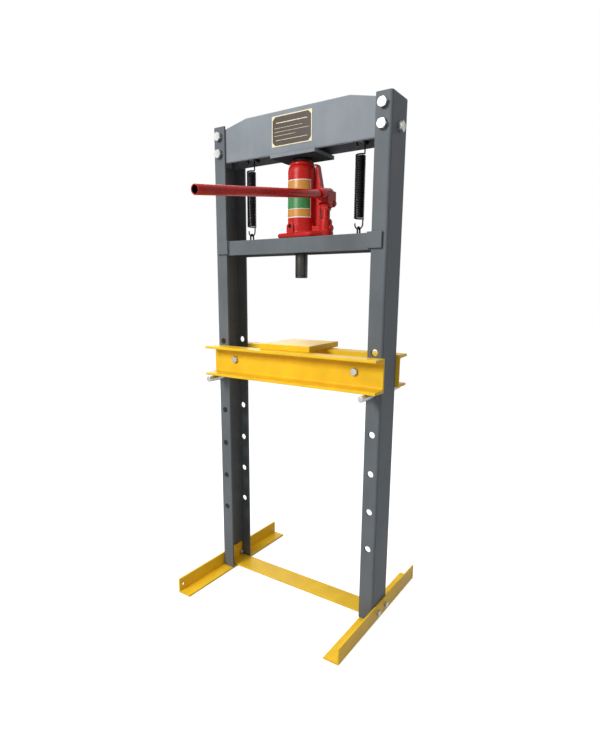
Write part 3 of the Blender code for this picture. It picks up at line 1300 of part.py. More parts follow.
def make_bed(frame):
    bed = empty("bed", (0, 0, BED_BOTTOM), frame)
    make_bed_channel("bed_channel_front", -1, bed)
    make_bed_channel("bed_channel_rear", 1, bed)
    make_bed_fasteners(bed)
    plate_slide = empty("press_plate_slide", (PRESS_PLATE_SHIFT_X, PRESS_PLATE_SHIFT_Y, BED_TOP), bed)
    make_press_plate(plate_slide)
    for side, name in ((-1, "left"), (1, "right")):
        slide = empty(f"pin_slide_{name}", (side * HOLE_LINE, 0, PIN_Z), frame)
        make_bed_pin(f"bed_pin_{name}", side, slide)


def make_moving_head(frame):
    crosshead = empty("crosshead_slide", (0, 0, CROSSHEAD_TOP), frame)
    make_crosshead(crosshead)
    make_guide_plates(crosshead)
    make_press_ram(crosshead)
    for side, name in ((-1, "left"), (1, "right")):
        make_spring_eye(f"spring_eye_{name}", side, crosshead)
    make_jack_base(crosshead)
    make_jack_tank(crosshead)
    make_jack_cap(crosshead)
    make_jack_cylinder(crosshead)
    make_pump_sleeve(crosshead)
    make_lever_bracket(crosshead)
    make_pivot_pin(crosshead)
    piston = empty("piston_slide", (PUMP_PLACE, 0, JACK_Z), crosshead)
    make_pump_piston(piston)
    lever = empty("lever_hinge", (PUMP_PLACE, LEVER_PIVOT_Y, PIVOT_Z), crosshead)
    make_pump_lever(lever)
    make_lever_pin(lever)
    handle = empty("handle_slide", tuple(handle_point(0)), lever)
    make_jack_handle(handle)
    valve = empty("valve_hinge", (VALVE_PLACE, -VALVE_BOSS_REACH, JACK_Z + VALVE_RAISE), crosshead)
    make_release_valve(valve)


def main():
    clear_scene()
    footprint = empty("footprint_middle", (0, 0, 0))
    footprint.location = (0, PRESS_AXIS_Y, 0)
    make_frame(footprint)
    make_bed(footprint)
    make_moving_head(footprint)


main()
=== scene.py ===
import json
import math

import bpy
import numpy as np
from mathutils import Matrix, Vector


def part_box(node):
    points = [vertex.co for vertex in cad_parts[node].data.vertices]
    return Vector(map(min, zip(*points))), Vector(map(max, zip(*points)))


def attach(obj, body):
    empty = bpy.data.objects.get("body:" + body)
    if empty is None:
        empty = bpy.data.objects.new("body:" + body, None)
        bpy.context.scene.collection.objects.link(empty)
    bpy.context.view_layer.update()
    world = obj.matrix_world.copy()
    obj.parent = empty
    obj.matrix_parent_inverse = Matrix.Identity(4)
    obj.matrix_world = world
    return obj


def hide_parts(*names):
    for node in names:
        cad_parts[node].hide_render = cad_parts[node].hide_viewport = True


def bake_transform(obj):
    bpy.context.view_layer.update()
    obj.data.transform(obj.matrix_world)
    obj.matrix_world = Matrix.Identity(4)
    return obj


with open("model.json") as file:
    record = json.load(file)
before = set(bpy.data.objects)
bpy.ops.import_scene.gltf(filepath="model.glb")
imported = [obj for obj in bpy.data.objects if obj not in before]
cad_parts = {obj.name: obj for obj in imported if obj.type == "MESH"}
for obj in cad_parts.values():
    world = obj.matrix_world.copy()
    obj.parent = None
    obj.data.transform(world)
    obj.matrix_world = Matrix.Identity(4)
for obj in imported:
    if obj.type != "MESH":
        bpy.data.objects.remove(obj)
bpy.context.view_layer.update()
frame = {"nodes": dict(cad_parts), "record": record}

bl_info = {
    "name": "Shop press dressing",
    "version": (1, 0, 0),
    "blender": (4, 5, 0),
    "location": "3D View > Sidebar > Press",
    "description": "Dresses the packed frame of a hydraulic shop press with its finishes and fine shapes",
    "category": "Object",
}

FINISHES = {}
MM = 0.001

# Room between fitted pieces
GAP = 0.3 * MM


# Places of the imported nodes


def span(node):
    """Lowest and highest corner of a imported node, as arrays."""
    low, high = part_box(node)
    return np.array(low), np.array(high)


def middle(node):
    low, high = span(node)
    return (low + high) / 2


PRESS_AXIS = middle("jack_tank")[:2]
JACK_FLOOR = span("jack_base")[0][2]

# Sizes of the jack's outside. Heights count from its floor, and radii from its axis
FOOT_LENGTH = 112 * MM
FOOT_DEPTH = 85 * MM
FOOT_CORNER = 16 * MM
FOOT_LOBE = 19 * MM
FOOT_SHIFT = 3.5 * MM
BOSS_RADIUS = 40 * MM
BOSS_TOP = 32 * MM
BOSS_SEAT = 4 * MM
BRIDGE_TOP = 27 * MM
BRIDGE_HALF = 11 * MM
PUMP_BOSS_RADIUS = 15.7 * MM
PUMP_BOSS_TOP = 39.5 * MM
TANK_RADIUS = 36.3 * MM
TANK_SHOULDER = 152 * MM
TANK_TOP = 170 * MM
CAP_RADIUS = 31 * MM
CAP_TOP = 179 * MM
SLEEVE_RADIUS = 13.8 * MM
KNEE = 108 * MM

# Sizes of the lever, about its two pins
SOCKET_RADIUS = 14.2 * MM
SOCKET_LENGTH = 49 * MM
SOCKET_BACK = 16 * MM
CHEEK_INSIDE = 10.3 * MM
CHEEK_OUTSIDE = 14.8 * MM
CHEEK_RADIUS = 8.5 * MM
LUG_RADIUS = 9 * MM
LUG_HALF = 10 * MM
PIN_RADIUS = 4 * MM
PIN_HOLE = 4.3 * MM


# Meshes from grids


def grid_faces(rows, columns, wrap_rows, wrap_columns):
    """Quads of a grid of rows by columns: each joins a point to its next in both directions."""
    row = np.arange(rows if wrap_rows else rows - 1)[:, None]
    column = np.arange(columns if wrap_columns else columns - 1)[None, :]
    next_row = (row + 1) % rows
    next_column = (column + 1) % columns
    corners = [row * columns + column, row * columns + next_column]
    corners += [next_row * columns + next_column, next_row * columns + column]
    return np.stack(np.broadcast_arrays(*corners), axis=-1).reshape(-1, 4)


def shell(grid, wrap_rows=False, wrap_columns=True, caps=True):
    """Points and faces of a grid. With caps, each end row is closed by a fan on its mean point."""
    rows, columns = grid.shape[:2]
    points = grid.reshape(-1, 3)
    faces = grid_faces(rows, columns, wrap_rows, wrap_columns).tolist()
    if caps and not wrap_rows:
        around = np.arange(columns)
        after = (around + 1) % columns
        for base, turn in ((0, -1), ((rows - 1) * columns, 1)):
            hub = np.full(columns, len(points))
            points = np.vstack([points, points[base:base + columns].mean(axis=0)])
            fan = np.stack([hub, base + around, base + after][::turn], axis=1)
            faces += fan.tolist()
    return points, faces


def gather(shells):
    """Several shells as one set of points and faces."""
    points = np.vstack([part[0] for part in shells])
    faces = []
    start = 0
    for part_points, part_faces in shells:
        faces += [[index + start for index in face] for face in part_faces]
        start += len(part_points)
    return points, faces


def piece(name, shells, finish, body, node=None, smooth_deg=35.0):
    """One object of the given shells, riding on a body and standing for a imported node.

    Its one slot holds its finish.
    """
    points, faces = gather(shells)
    mesh = bpy.data.meshes.new(name)
    mesh.from_pydata(points.tolist(), [], faces)
    mesh.validate()
    made = bpy.data.objects.new(name, mesh)
    bpy.context.scene.collection.objects.link(made)
    face_outwards(mesh)
    mesh.shade_smooth()
    mesh.set_sharp_from_angle(angle=math.radians(smooth_deg))
    mesh.materials.append(FINISHES[finish])
    if body:
        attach(made, body)
    if node:
        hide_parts(node)
    return made


def face_outwards(mesh):
    """Turns the whole mesh inside out if the volume that its faces enclose is negative."""
    mesh.calc_loop_triangles()
    corners = np.zeros(len(mesh.loop_triangles) * 3, np.int32)
    mesh.loop_triangles.foreach_get("vertices", corners)
    place = np.zeros(len(mesh.vertices) * 3)
    mesh.vertices.foreach_get("co", place)
    a, b, c = (place.reshape(-1, 3)[corners.reshape(-1, 3)[:, k]] for k in range(3))
    if np.einsum("ij,ij->", a, np.cross(b, c)) < 0:
        mesh.flip_normals()


def axis_frame(axis):
    """Three unit vectors as rows: two across the axis, and the axis."""
    axis = np.array(axis, float)
    axis /= np.linalg.norm(axis)
    helper = np.array([0.0, 0.0, 1.0]) if abs(axis[2]) < 0.9 else np.array([1.0, 0.0, 0.0])
    across = np.cross(helper, axis)
    across /= np.linalg.norm(across)
    return np.stack([across, np.cross(axis, across), axis])


def rounded(profile, radius, steps=4, closed=False):
    """A profile whose corners are arcs: each corner gives way to a quadratic curve between its neighbours."""
    points = np.array(profile, float)
    count = len(points)
    result = []
    for index in range(count):
        here = points[index]
        if not closed and index in (0, count - 1):
            result.append(here[None])
            continue
        before = points[index - 1] - here
        after = points[(index + 1) % count] - here
        reach = min(radius, 0.45 * np.linalg.norm(before), 0.45 * np.linalg.norm(after))
        start = here + before / max(np.linalg.norm(before), 1e-9) * reach
        end = here + after / max(np.linalg.norm(after), 1e-9) * reach
        t = np.linspace(0, 1, steps + 1)[:, None]
        result.append((1 - t) ** 2 * start + 2 * t * (1 - t) * here + t ** 2 * end)
    return np.vstack(result)


def turned(profile, place, axis=(0, 0, 1), segments=64, closed=False):
    """A surface of revolution: point = place + r cos a X + r sin a Y + h axis, for each (r, h) and a."""
    profile = np.array(profile, float)
    angle = np.linspace(0, 2 * np.pi, segments, endpoint=False)
    x_dir, y_dir, z_dir = axis_frame(axis)
    ring = np.cos(angle)[:, None] * x_dir + np.sin(angle)[:, None] * y_dir
    grid = profile[:, 0, None, None] * ring[None] + profile[:, 1, None, None] * z_dir
    return shell(grid + np.array(place), wrap_rows=closed, caps=not closed)


def swept(path, radius, sides=10, reference=(1, 1, 1)):
    """A round wire along a path: point = path + r cos a S + r sin a U.

    S is the fixed slanting reference made square to the path's direction, and U is square to both.
    The radius may be one number or one for each point of the path.
    """
    path = np.array(path, float)
    along = np.gradient(path, axis=0)
    along /= np.linalg.norm(along, axis=1, keepdims=True)
    reference = np.array(reference, float) / np.linalg.norm(reference)
    side = reference - (along @ reference)[:, None] * along
    side /= np.linalg.norm(side, axis=1, keepdims=True)
    up = np.cross(along, side)
    angle = np.linspace(0, 2 * np.pi, sides, endpoint=False)
    radius = np.broadcast_to(np.array(radius, float), (len(path),))[:, None, None]
    ring = np.cos(angle)[None, :, None] * side[:, None] + np.sin(angle)[None, :, None] * up[:, None]
    return shell(path[:, None] + radius * ring)


def prism(outline, axis, low, high):
    """An outline carried straight along X, Y or Z, with flat ends of one face each."""
    slot = "XYZ".index(axis)
    outline = np.array(outline, float)
    ends = [np.insert(outline, slot, level, axis=1) for level in (low, high)]
    count = len(outline)
    faces = grid_faces(2, count, False, True).tolist()
    faces.append(list(range(count - 1, -1, -1)))
    faces.append(list(range(count, 2 * count)))
    return np.vstack(ends), faces


def folded(outer, inner, axis, low, high):
    """A bent strip carried straight along an axis: two rails of equal length bound its section.

    The sides follow the rails, and each end is a row of quads from rail to rail, so no face is concave.
    """
    outline = np.vstack([outer, inner[::-1]])
    points, faces = prism(outline, axis, low, high)
    faces = faces[:-2]
    steps = len(outer) - 1
    last = len(outline) - 1
    for base, turn in ((0, -1), (len(outline), 1)):
        for index in range(steps):
            quad = [base + index, base + index + 1, base + last - index - 1, base + last - index]
            faces.append(quad[::turn])
    return points, faces


def rail(corners, radii):
    """An open line whose inner corners are rounded, each with its own radius."""
    points = np.array(corners, float)
    parts = [points[:1]]
    for index, radius in enumerate(radii, 1):
        parts.append(rounded(points[index - 1:index + 2], radius, 6)[1:-1])
    return np.vstack(parts + [points[-1:]])


def block(low, high):
    outline = [(low[0], low[1]), (high[0], low[1]), (high[0], high[1]), (low[0], high[1])]
    return prism(outline, "Z", low[2], high[2])


def hex_head(place, axis, across, height, turn_deg=0.0, round_face=True):
    """A hexagon head standing on a place: the outline is r = half / cos(a - nearest flat).

    The outer corners are taken off by a cone, so a side's top is height - (r - ring) times the cone's
    slope, and the top is a disc. Rows run from the underside to the middle of the top.
    """
    half = across / 2
    angle = np.linspace(0, 2 * np.pi, 72, endpoint=False)
    off_flat = (angle + np.pi / 6) % (np.pi / 3) - np.pi / 6
    outline = half / np.cos(off_flat)
    ring = half * 0.95
    cone_top = height - np.maximum(outline - ring, 0) * 0.55
    edge = 0.02 * across
    rows = [(outline * 0.9, np.zeros_like(angle)), (outline - edge / 2, np.zeros_like(angle))]
    rows += [(outline, np.full_like(angle, edge / 2)), (outline, cone_top - edge / 3)]
    rows += [(outline - edge / 3, cone_top), (np.full_like(angle, ring), np.full_like(angle, height))]
    if round_face:
        rows += [(np.full_like(angle, ring * 0.75), np.full_like(angle, height - edge * 0.2))]
    x_dir, y_dir, z_dir = axis_frame(axis)
    turn = angle + math.radians(turn_deg)
    ring_dir = np.cos(turn)[:, None] * x_dir + np.sin(turn)[:, None] * y_dir
    grid = np.stack([r[:, None] * ring_dir + h[:, None] * z_dir for r, h in rows])
    return shell(grid + np.array(place))


def thread_profile(radius, low, high, pitch):
    """A threaded end seen as rings: the radius falls and rises once for each pitch."""
    steps = max(int((high - low) / pitch * 4), 2)
    height = np.linspace(low, high, steps)
    depth = 0.12 * pitch * (1 + np.cos(2 * np.pi * (height - low) / pitch))
    return np.stack([radius - depth, height], axis=1)


def weld_bead(start, end, radius, pitch=0.0035, seed=1):
    """A weld along a line: a wire whose radius rises with |sin| at each ripple and wanders a little."""
    length = np.linalg.norm(np.array(end, float) - np.array(start, float))
    count = max(int(length / pitch * 8), 16)
    along = np.linspace(0, length, count)
    wander = np.random.default_rng(seed).normal(0, 1, 9)
    wave = sum(wander[k] * np.sin((k + 1) * along / length * 5 + k) for k in range(9)) / 9
    ripple = 0.82 + 0.22 * np.abs(np.sin(np.pi * along / pitch)) + 0.10 * wave
    taper = np.minimum(1, np.minimum(along, length - along) / (2 * pitch) + 0.35)
    return swept(np.linspace(start, end, count), radius * ripple * taper, 12)


def finish_edges(made, width, segments=3):
    """Rounds a piece's edges and shades its flat faces evenly."""
    edge = made.modifiers.new("edges", "BEVEL")
    edge.width = width
    edge.segments = segments
    edge.limit_method = "ANGLE"
    edge.angle_limit = math.radians(40)
    even = made.modifiers.new("even_shade", "WEIGHTED_NORMAL")
    even.keep_sharp = True
    made.data.set_sharp_from_angle(angle=math.radians(180))
    return made


def lay(made):
    """Keeps what an object's modifiers make of it as its plain mesh, and takes them off."""
    graph = bpy.context.evaluated_depsgraph_get()
    laid = bpy.data.meshes.new_from_object(made.evaluated_get(graph))
    laid.name = made.name
    made.modifiers.clear()
    made.data = laid


def bored(made, bores):
    """Takes the bores out of a piece."""
    points, faces = gather(bores)
    mesh = bpy.data.meshes.new("drill")
    mesh.from_pydata(points.tolist(), [], faces)
    face_outwards(mesh)
    drill = bpy.data.objects.new("drill", mesh)
    bpy.context.scene.collection.objects.link(drill)
    cut = made.modifiers.new("bored", "BOOLEAN")
    cut.operation = "DIFFERENCE"
    cut.solver = "EXACT"
    cut.object = drill
    lay(made)
    bpy.data.objects.remove(drill)


def casting(name, shells, body, node, voxel, smoothing, bores):
    """Closed shells that overlap, laid again as one skin of even cells, softened, and then bored."""
    finish = "red_paint"
    made = piece(name, shells, finish, body, node)
    cells = made.modifiers.new("cells", "REMESH")
    cells.mode = "VOXEL"
    cells.voxel_size = voxel
    flow = made.modifiers.new("flow", "SMOOTH")
    flow.factor = 0.5
    flow.iterations = smoothing
    lay(made)
    bored(made, bores)
    made.data.materials.clear()
    made.data.materials.append(FINISHES[finish])
    face_outwards(made.data)
    made.data.shade_smooth()
    made.data.set_sharp_from_angle(angle=math.radians(50))
    return made


def arc(centre, radius, start_deg, end_deg, steps=16):
    """Points on an arc: centre + r (cos a, sin a)."""
    angle = np.radians(np.linspace(start_deg, end_deg, steps + 1))
    return np.array(centre) + radius * np.stack([np.cos(angle), np.sin(angle)], axis=1)


# Shader node groups and finishes. FINISHES holds each material under its name


class Steps:
    """Adds shader nodes to a tree and joins them, so that a finish reads as a list of steps."""

    def __init__(self, tree):
        self.tree = tree

    def add(self, kind, inputs=None, **settings):
        node = self.tree.nodes.new(kind)
        for key, value in settings.items():
            setattr(node, key, value)
        for key, value in (inputs or {}).items():
            self.feed(node.inputs[key], value)
        return node

    def feed(self, socket, value):
        if isinstance(value, bpy.types.NodeSocket):
            self.tree.links.new(value, socket)
        else:
            socket.default_value = value

    def maths(self, operation, first, second=0.5, clamp=False):
        node = self.add("ShaderNodeMath", operation=operation, use_clamp=clamp)
        self.feed(node.inputs[0], first)
        self.feed(node.inputs[1], second)
        return node.outputs[0]

    def mix(self, share, first, second, blend="MIX"):
        node = self.add("ShaderNodeMix", data_type="RGBA", blend_type=blend)
        self.feed(node.inputs[0], share)
        self.feed(node.inputs[6], first)
        self.feed(node.inputs[7], second)
        return node.outputs[2]

    def spread(self, value, low, high, to_low=0.0, to_high=1.0):
        node = self.add("ShaderNodeMapRange", interpolation_type="SMOOTHSTEP")
        for index, part in enumerate((value, low, high, to_low, to_high)):
            self.feed(node.inputs[index], part)
        return node.outputs[0]

    def noise(self, where, scale, detail=3.0, rough=0.5, stretch=None):
        if stretch:
            where = self.add("ShaderNodeMapping", {"Vector": where, "Scale": stretch}).outputs[0]
        node = self.add("ShaderNodeTexNoise", {"Vector": where})
        self.feed(node.inputs["Scale"], scale)
        self.feed(node.inputs["Detail"], detail)
        self.feed(node.inputs["Roughness"], rough)
        return node.outputs[0]


def shared_group(name, inputs, outputs, build):
    """A node group made once and used by many finishes."""
    found = bpy.data.node_groups.get(name)
    if found:
        return found
    group = bpy.data.node_groups.new(name, "ShaderNodeTree")
    for label, kind, default in inputs:
        socket = group.interface.new_socket(label, in_out="INPUT", socket_type=kind)
        socket.default_value = default
    for label, kind in outputs:
        group.interface.new_socket(label, in_out="OUTPUT", socket_type=kind)
    steps = Steps(group)
    entry = steps.add("NodeGroupInput")
    leave = steps.add("NodeGroupOutput")
    for label, value in build(steps, entry.outputs).items():
        steps.feed(leave.inputs[label], value)
    return group


def paint_tone_group():
    """Slow patches and fine specks that move a paint's tone, its gloss and its height."""

    def build(steps, given):
        where = steps.add("ShaderNodeTexCoord").outputs["Object"]
        patches = steps.noise(where, given["Patch Scale"], 4.0, 0.55)
        specks = steps.noise(where, given["Speck Scale"], 2.0, 0.6)
        runs = steps.noise(where, given["Patch Scale"], 3.0, 0.5, (3.0, 3.0, 0.5))
        tone = steps.maths("ADD", steps.maths("MULTIPLY", patches, 0.7), steps.maths("MULTIPLY", runs, 0.3))
        return {"Tone": tone, "Specks": specks, "Height": specks}

    inputs = [("Patch Scale", "NodeSocketFloat", 9.0), ("Speck Scale", "NodeSocketFloat", 900.0)]
    outputs = [("Tone", "NodeSocketFloat"), ("Specks", "NodeSocketFloat"), ("Height", "NodeSocketFloat")]
    return shared_group("paint_tone", inputs, outputs, build)


def edge_wear_group():
    """A mask along edges, where the rounded normal departs from the true one, broken up by noise."""

    def build(steps, given):
        where = steps.add("ShaderNodeTexCoord").outputs["Object"]
        soft = steps.add("ShaderNodeBevel", {"Radius": given["Radius"]}, samples=4).outputs[0]
        true = steps.add("ShaderNodeNewGeometry").outputs["Normal"]
        same = steps.add("ShaderNodeVectorMath", operation="DOT_PRODUCT")
        steps.feed(same.inputs[0], soft)
        steps.feed(same.inputs[1], true)
        edge = steps.maths("SUBTRACT", 1.0, same.outputs["Value"], True)
        broken = steps.noise(where, given["Break Scale"], 5.0, 0.7)
        amount = steps.maths("MULTIPLY", steps.spread(broken, 0.45, 0.70), given["Amount"])
        return {"Mask": steps.maths("MULTIPLY", steps.spread(edge, 0.05, 0.25), amount, True), "Normal": soft}

    inputs = [("Radius", "NodeSocketFloat", 0.001), ("Break Scale", "NodeSocketFloat", 60.0)]
    inputs += [("Amount", "NodeSocketFloat", 1.0)]
    outputs = [("Mask", "NodeSocketFloat"), ("Normal", "NodeSocketVector")]
    return shared_group("edge_wear", inputs, outputs, build)


def metal_grain_group():
    """Fine lines along one direction and slow smudges, for steel that was drawn, turned or plated."""

    def build(steps, given):
        where = steps.add("ShaderNodeTexCoord").outputs["Object"]
        mapped = steps.add("ShaderNodeMapping", {"Vector": where})
        steps.feed(mapped.inputs["Scale"], given["Stretch"])
        lines = steps.noise(mapped.outputs[0], 400.0, 3.0, 0.6)
        smudge = steps.noise(where, given["Smudge Scale"], 4.0, 0.6)
        return {"Lines": lines, "Smudge": smudge}

    inputs = [("Stretch", "NodeSocketVector", (1.0, 1.0, 0.05)), ("Smudge Scale", "NodeSocketFloat", 40.0)]
    outputs = [("Lines", "NodeSocketFloat"), ("Smudge", "NodeSocketFloat")]
    return shared_group("metal_grain", inputs, outputs, build)


def new_finish(name):
    """An empty material and its Principled shader."""
    made = bpy.data.materials.new(name)
    made.use_nodes = True
    steps = Steps(made.node_tree)
    return made, steps, made.node_tree.nodes["Principled BSDF"]


def scaled(colour, share):
    return tuple(min(channel * share, 1.0) for channel in colour[:3]) + (1.0,)


def use_group(steps, group, **values):
    node = steps.add("ShaderNodeGroup", node_tree=group)
    for label, value in values.items():
        steps.feed(node.inputs[label.replace("_", " ")], value)
    return node.outputs


def paint(name, colour, under, gloss, wear, peel=0.05, edge=0.0012, patch=9.0, shine=0.22, underside_shade=1.0):
    """Sprayed paint: tone drifts in patches, the skin is faintly pebbled, and edges show what is under it.

    Where the last argument is less than one, faces that look down take painted shade: their tone is the paint's
    times that argument.
    """
    made, steps, shader = new_finish(name)
    tone = use_group(steps, paint_tone_group(), Patch_Scale=patch, Speck_Scale=650.0)
    worn = use_group(steps, edge_wear_group(), Radius=edge, Break_Scale=70.0, Amount=wear)
    drift = steps.spread(tone["Tone"], 0.32, 0.68)
    body = steps.mix(drift, scaled(colour, 0.90), scaled(colour, 1.10))
    fine = steps.maths("MULTIPLY", steps.spread(tone["Specks"], 0.62, 0.72), 0.18)
    speckled = steps.mix(fine, body, scaled(colour, 1.45))
    # Painted shade: faces that look down are darkened to the paint's times this share, standing for the shade
    # under the piece
    if underside_shade < 1.0:
        facing = steps.add("ShaderNodeNewGeometry").outputs["Normal"]
        upward = steps.add("ShaderNodeSeparateXYZ", {"Vector": facing}).outputs["Z"]
        speckled = steps.mix(steps.spread(upward, -0.8, -0.3), scaled(colour, underside_shade), speckled)
    steps.feed(shader.inputs["Base Color"], steps.mix(worn["Mask"], speckled, under))
    rough = steps.spread(tone["Tone"], 0.3, 0.7, gloss - 0.05, gloss + 0.07)
    rougher = steps.maths("ADD", rough, steps.maths("MULTIPLY", worn["Mask"], 0.2))
    steps.feed(shader.inputs["Roughness"], rougher)
    bump = steps.add("ShaderNodeBump", {"Height": tone["Height"], "Normal": worn["Normal"]})
    bump.inputs["Strength"].default_value = peel
    bump.inputs["Distance"].default_value = 0.4 * MM
    steps.feed(shader.inputs["Normal"], bump.outputs[0])
    shader.inputs["Specular IOR Level"].default_value = shine
    return made


def metal(name, colour, rough, stretch=(1.0, 1.0, 0.05), stain=0.75, bite=0.08, spot=0.0, spot_colour=None):
    """Bare or plated steel: lines from drawing or turning, smudges that dull it, and spots of rust."""
    made, steps, shader = new_finish(name)
    grain = use_group(steps, metal_grain_group(), Stretch=stretch, Smudge_Scale=38.0)
    dull = steps.spread(grain["Smudge"], 0.35, 0.7)
    body = steps.mix(dull, colour, scaled(colour, stain))
    shaded = steps.mix(steps.maths("MULTIPLY", grain["Lines"], 0.25), body, scaled(colour, 0.55))
    if spot:
        where = steps.add("ShaderNodeTexCoord").outputs["Object"]
        patches = steps.spread(steps.noise(where, 160.0, 5.0, 0.7), 0.66 - 0.1 * spot, 0.74 - 0.1 * spot)
        shaded = steps.mix(patches, shaded, spot_colour)
        steps.feed(shader.inputs["Metallic"], steps.maths("SUBTRACT", 1.0, patches, True))
    else:
        shader.inputs["Metallic"].default_value = 1.0
    steps.feed(shader.inputs["Base Color"], shaded)
    dulled = steps.spread(grain["Smudge"], 0.3, 0.75, rough - 0.06, rough + 0.12)
    steps.feed(shader.inputs["Roughness"], dulled)
    bump = steps.add("ShaderNodeBump", {"Height": grain["Lines"]})
    bump.inputs["Strength"].default_value = bite
    bump.inputs["Distance"].default_value = 0.1 * MM
    steps.feed(shader.inputs["Normal"], bump.outputs[0])
    return made


def band_finish(name, stops, gloss):
    """A printed label: bands of colour up the piece's own map, with a fine tone in the ink."""
    made, steps, shader = new_finish(name)
    chart = steps.add("ShaderNodeUVMap", uv_map="map").outputs[0]
    split = steps.add("ShaderNodeSeparateXYZ", {"Vector": chart}).outputs
    ramp = steps.add("ShaderNodeValToRGB", {"Fac": split[1]})
    ramp.color_ramp.interpolation = "CONSTANT"
    keys = ramp.color_ramp.elements
    while len(keys) < len(stops):
        keys.new(1.0)
    for key, (place, colour) in zip(keys, stops):
        key.position = place
        key.color = colour
    rim = steps.maths("MINIMUM", split[0], steps.maths("SUBTRACT", 1.0, split[0]))
    border = steps.maths("LESS_THAN", rim, 0.022)
    printed = steps.mix(border, ramp.outputs[0], stops[0][1])
    where = steps.add("ShaderNodeTexCoord").outputs["Object"]
    ink = steps.noise(where, 260.0, 3.0, 0.5)
    toned = steps.mix(steps.spread(ink, 0.3, 0.7, 0.0, 0.12), printed, (0.25, 0.22, 0.18, 1.0))
    steps.feed(shader.inputs["Base Color"], toned)
    steps.feed(shader.inputs["Roughness"], steps.spread(ink, 0.3, 0.7, gloss, gloss + 0.12))
    bump = steps.add("ShaderNodeBump", {"Height": ink})
    bump.inputs["Strength"].default_value = 0.03
    bump.inputs["Distance"].default_value = 0.1 * MM
    steps.feed(shader.inputs["Normal"], bump.outputs[0])
    return made


# What a user may change


class PressColours(bpy.types.PropertyGroup):
    slate: bpy.props.FloatVectorProperty(
        name="Slate paint", description="Paint of the uprights, beam and crosshead", subtype="COLOR", size=4,
        min=0.0, max=1.0, default=(0.135, 0.150, 0.163, 1.0))
    yellow: bpy.props.FloatVectorProperty(
        name="Yellow paint", description="Paint of the bed, the feet and the tie bar", subtype="COLOR",
        size=4, min=0.0, max=1.0, default=(0.90, 0.56, 0.026, 1.0))
    red: bpy.props.FloatVectorProperty(
        name="Red paint", description="Paint of the jack and its handle", subtype="COLOR", size=4,
        min=0.0, max=1.0, default=(0.50, 0.013, 0.009, 1.0))
    zinc: bpy.props.FloatVectorProperty(
        name="Zinc plating", description="Plating of bolts, nuts and pins", subtype="COLOR", size=4,
        min=0.0, max=1.0, default=(0.50, 0.50, 0.485, 1.0))
    blackened: bpy.props.FloatVectorProperty(
        name="Blackened steel", description="Springs, hooks and the jack's saddle", subtype="COLOR", size=4,
        min=0.0, max=1.0, default=(0.028, 0.027, 0.028, 1.0))
    plate_field: bpy.props.FloatVectorProperty(
        name="Plate field", description="Dark field of the rating plate", subtype="COLOR", size=4,
        min=0.0, max=1.0, default=(0.075, 0.055, 0.045, 1.0))
    plate_line: bpy.props.FloatVectorProperty(
        name="Plate lines", description="Border and ruled lines of the rating plate", subtype="COLOR", size=4,
        min=0.0, max=1.0, default=(0.82, 0.74, 0.50, 1.0))
    label_orange: bpy.props.FloatVectorProperty(
        name="Label orange", description="Upper and lower bands of the jack's label", subtype="COLOR", size=4,
        min=0.0, max=1.0, default=(0.58, 0.25, 0.024, 1.0))
    label_green: bpy.props.FloatVectorProperty(
        name="Label green", description="Middle band of the jack's label", subtype="COLOR", size=4,
        min=0.0, max=1.0, default=(0.013, 0.20, 0.045, 1.0))


class PressSizes(bpy.types.PropertyGroup):
    spring_turns: bpy.props.IntProperty(
        name="Spring turns", description="Turns of wire in each return spring", default=36, min=20, max=60)
    spring_radius: bpy.props.FloatProperty(
        name="Spring radius", description="Outer radius of the return springs",
        default=12.8 * MM, unit="LENGTH")
    spring_wire: bpy.props.FloatProperty(
        name="Spring wire", description="Radius of the spring wire", default=1.75 * MM, unit="LENGTH")
    weld_radius: bpy.props.FloatProperty(
        name="Weld radius", description="Half width of the weld beads", default=2.0 * MM, unit="LENGTH")
    sheet_edge: bpy.props.FloatProperty(
        name="Sheet edge", description="Rounding of cut sheet and plate edges",
        default=0.7 * MM, unit="LENGTH")
    label_low: bpy.props.FloatProperty(
        name="Label foot", description="Height of the label's lower edge above the jack's base",
        default=47.0 * MM, unit="LENGTH")
    label_height: bpy.props.FloatProperty(
        name="Label height", description="Height of the jack's label", default=89.0 * MM, unit="LENGTH")
    label_turn: bpy.props.FloatProperty(
        name="Label turn", description="Angle of the label's right edge from the pump's side",
        default=math.radians(-19.5), subtype="ANGLE")
    label_wrap: bpy.props.FloatProperty(
        name="Label wrap", description="Angle that the label covers round the tank",
        default=math.radians(150.0), subtype="ANGLE")


class PressLight(bpy.types.PropertyGroup):
    key_power: bpy.props.FloatProperty(
        name="Key light", description="Power of the large lamp in front", default=85.0, unit="POWER")
    fill_power: bpy.props.FloatProperty(
        name="Fill light", description="Power of the lamp behind and to the left", default=26.0, unit="POWER")
    top_power: bpy.props.FloatProperty(
        name="Overhead light", description="Power of the lamp above", default=36.0, unit="POWER")
    ambient: bpy.props.FloatProperty(
        name="Surrounding light", description="Strength of the even light from all round", default=0.30)


class DressingOperator:
    """What the operators share."""

    bl_options = {"REGISTER", "UNDO"}

    @classmethod
    def poll(cls, context):
        return context.scene is not None


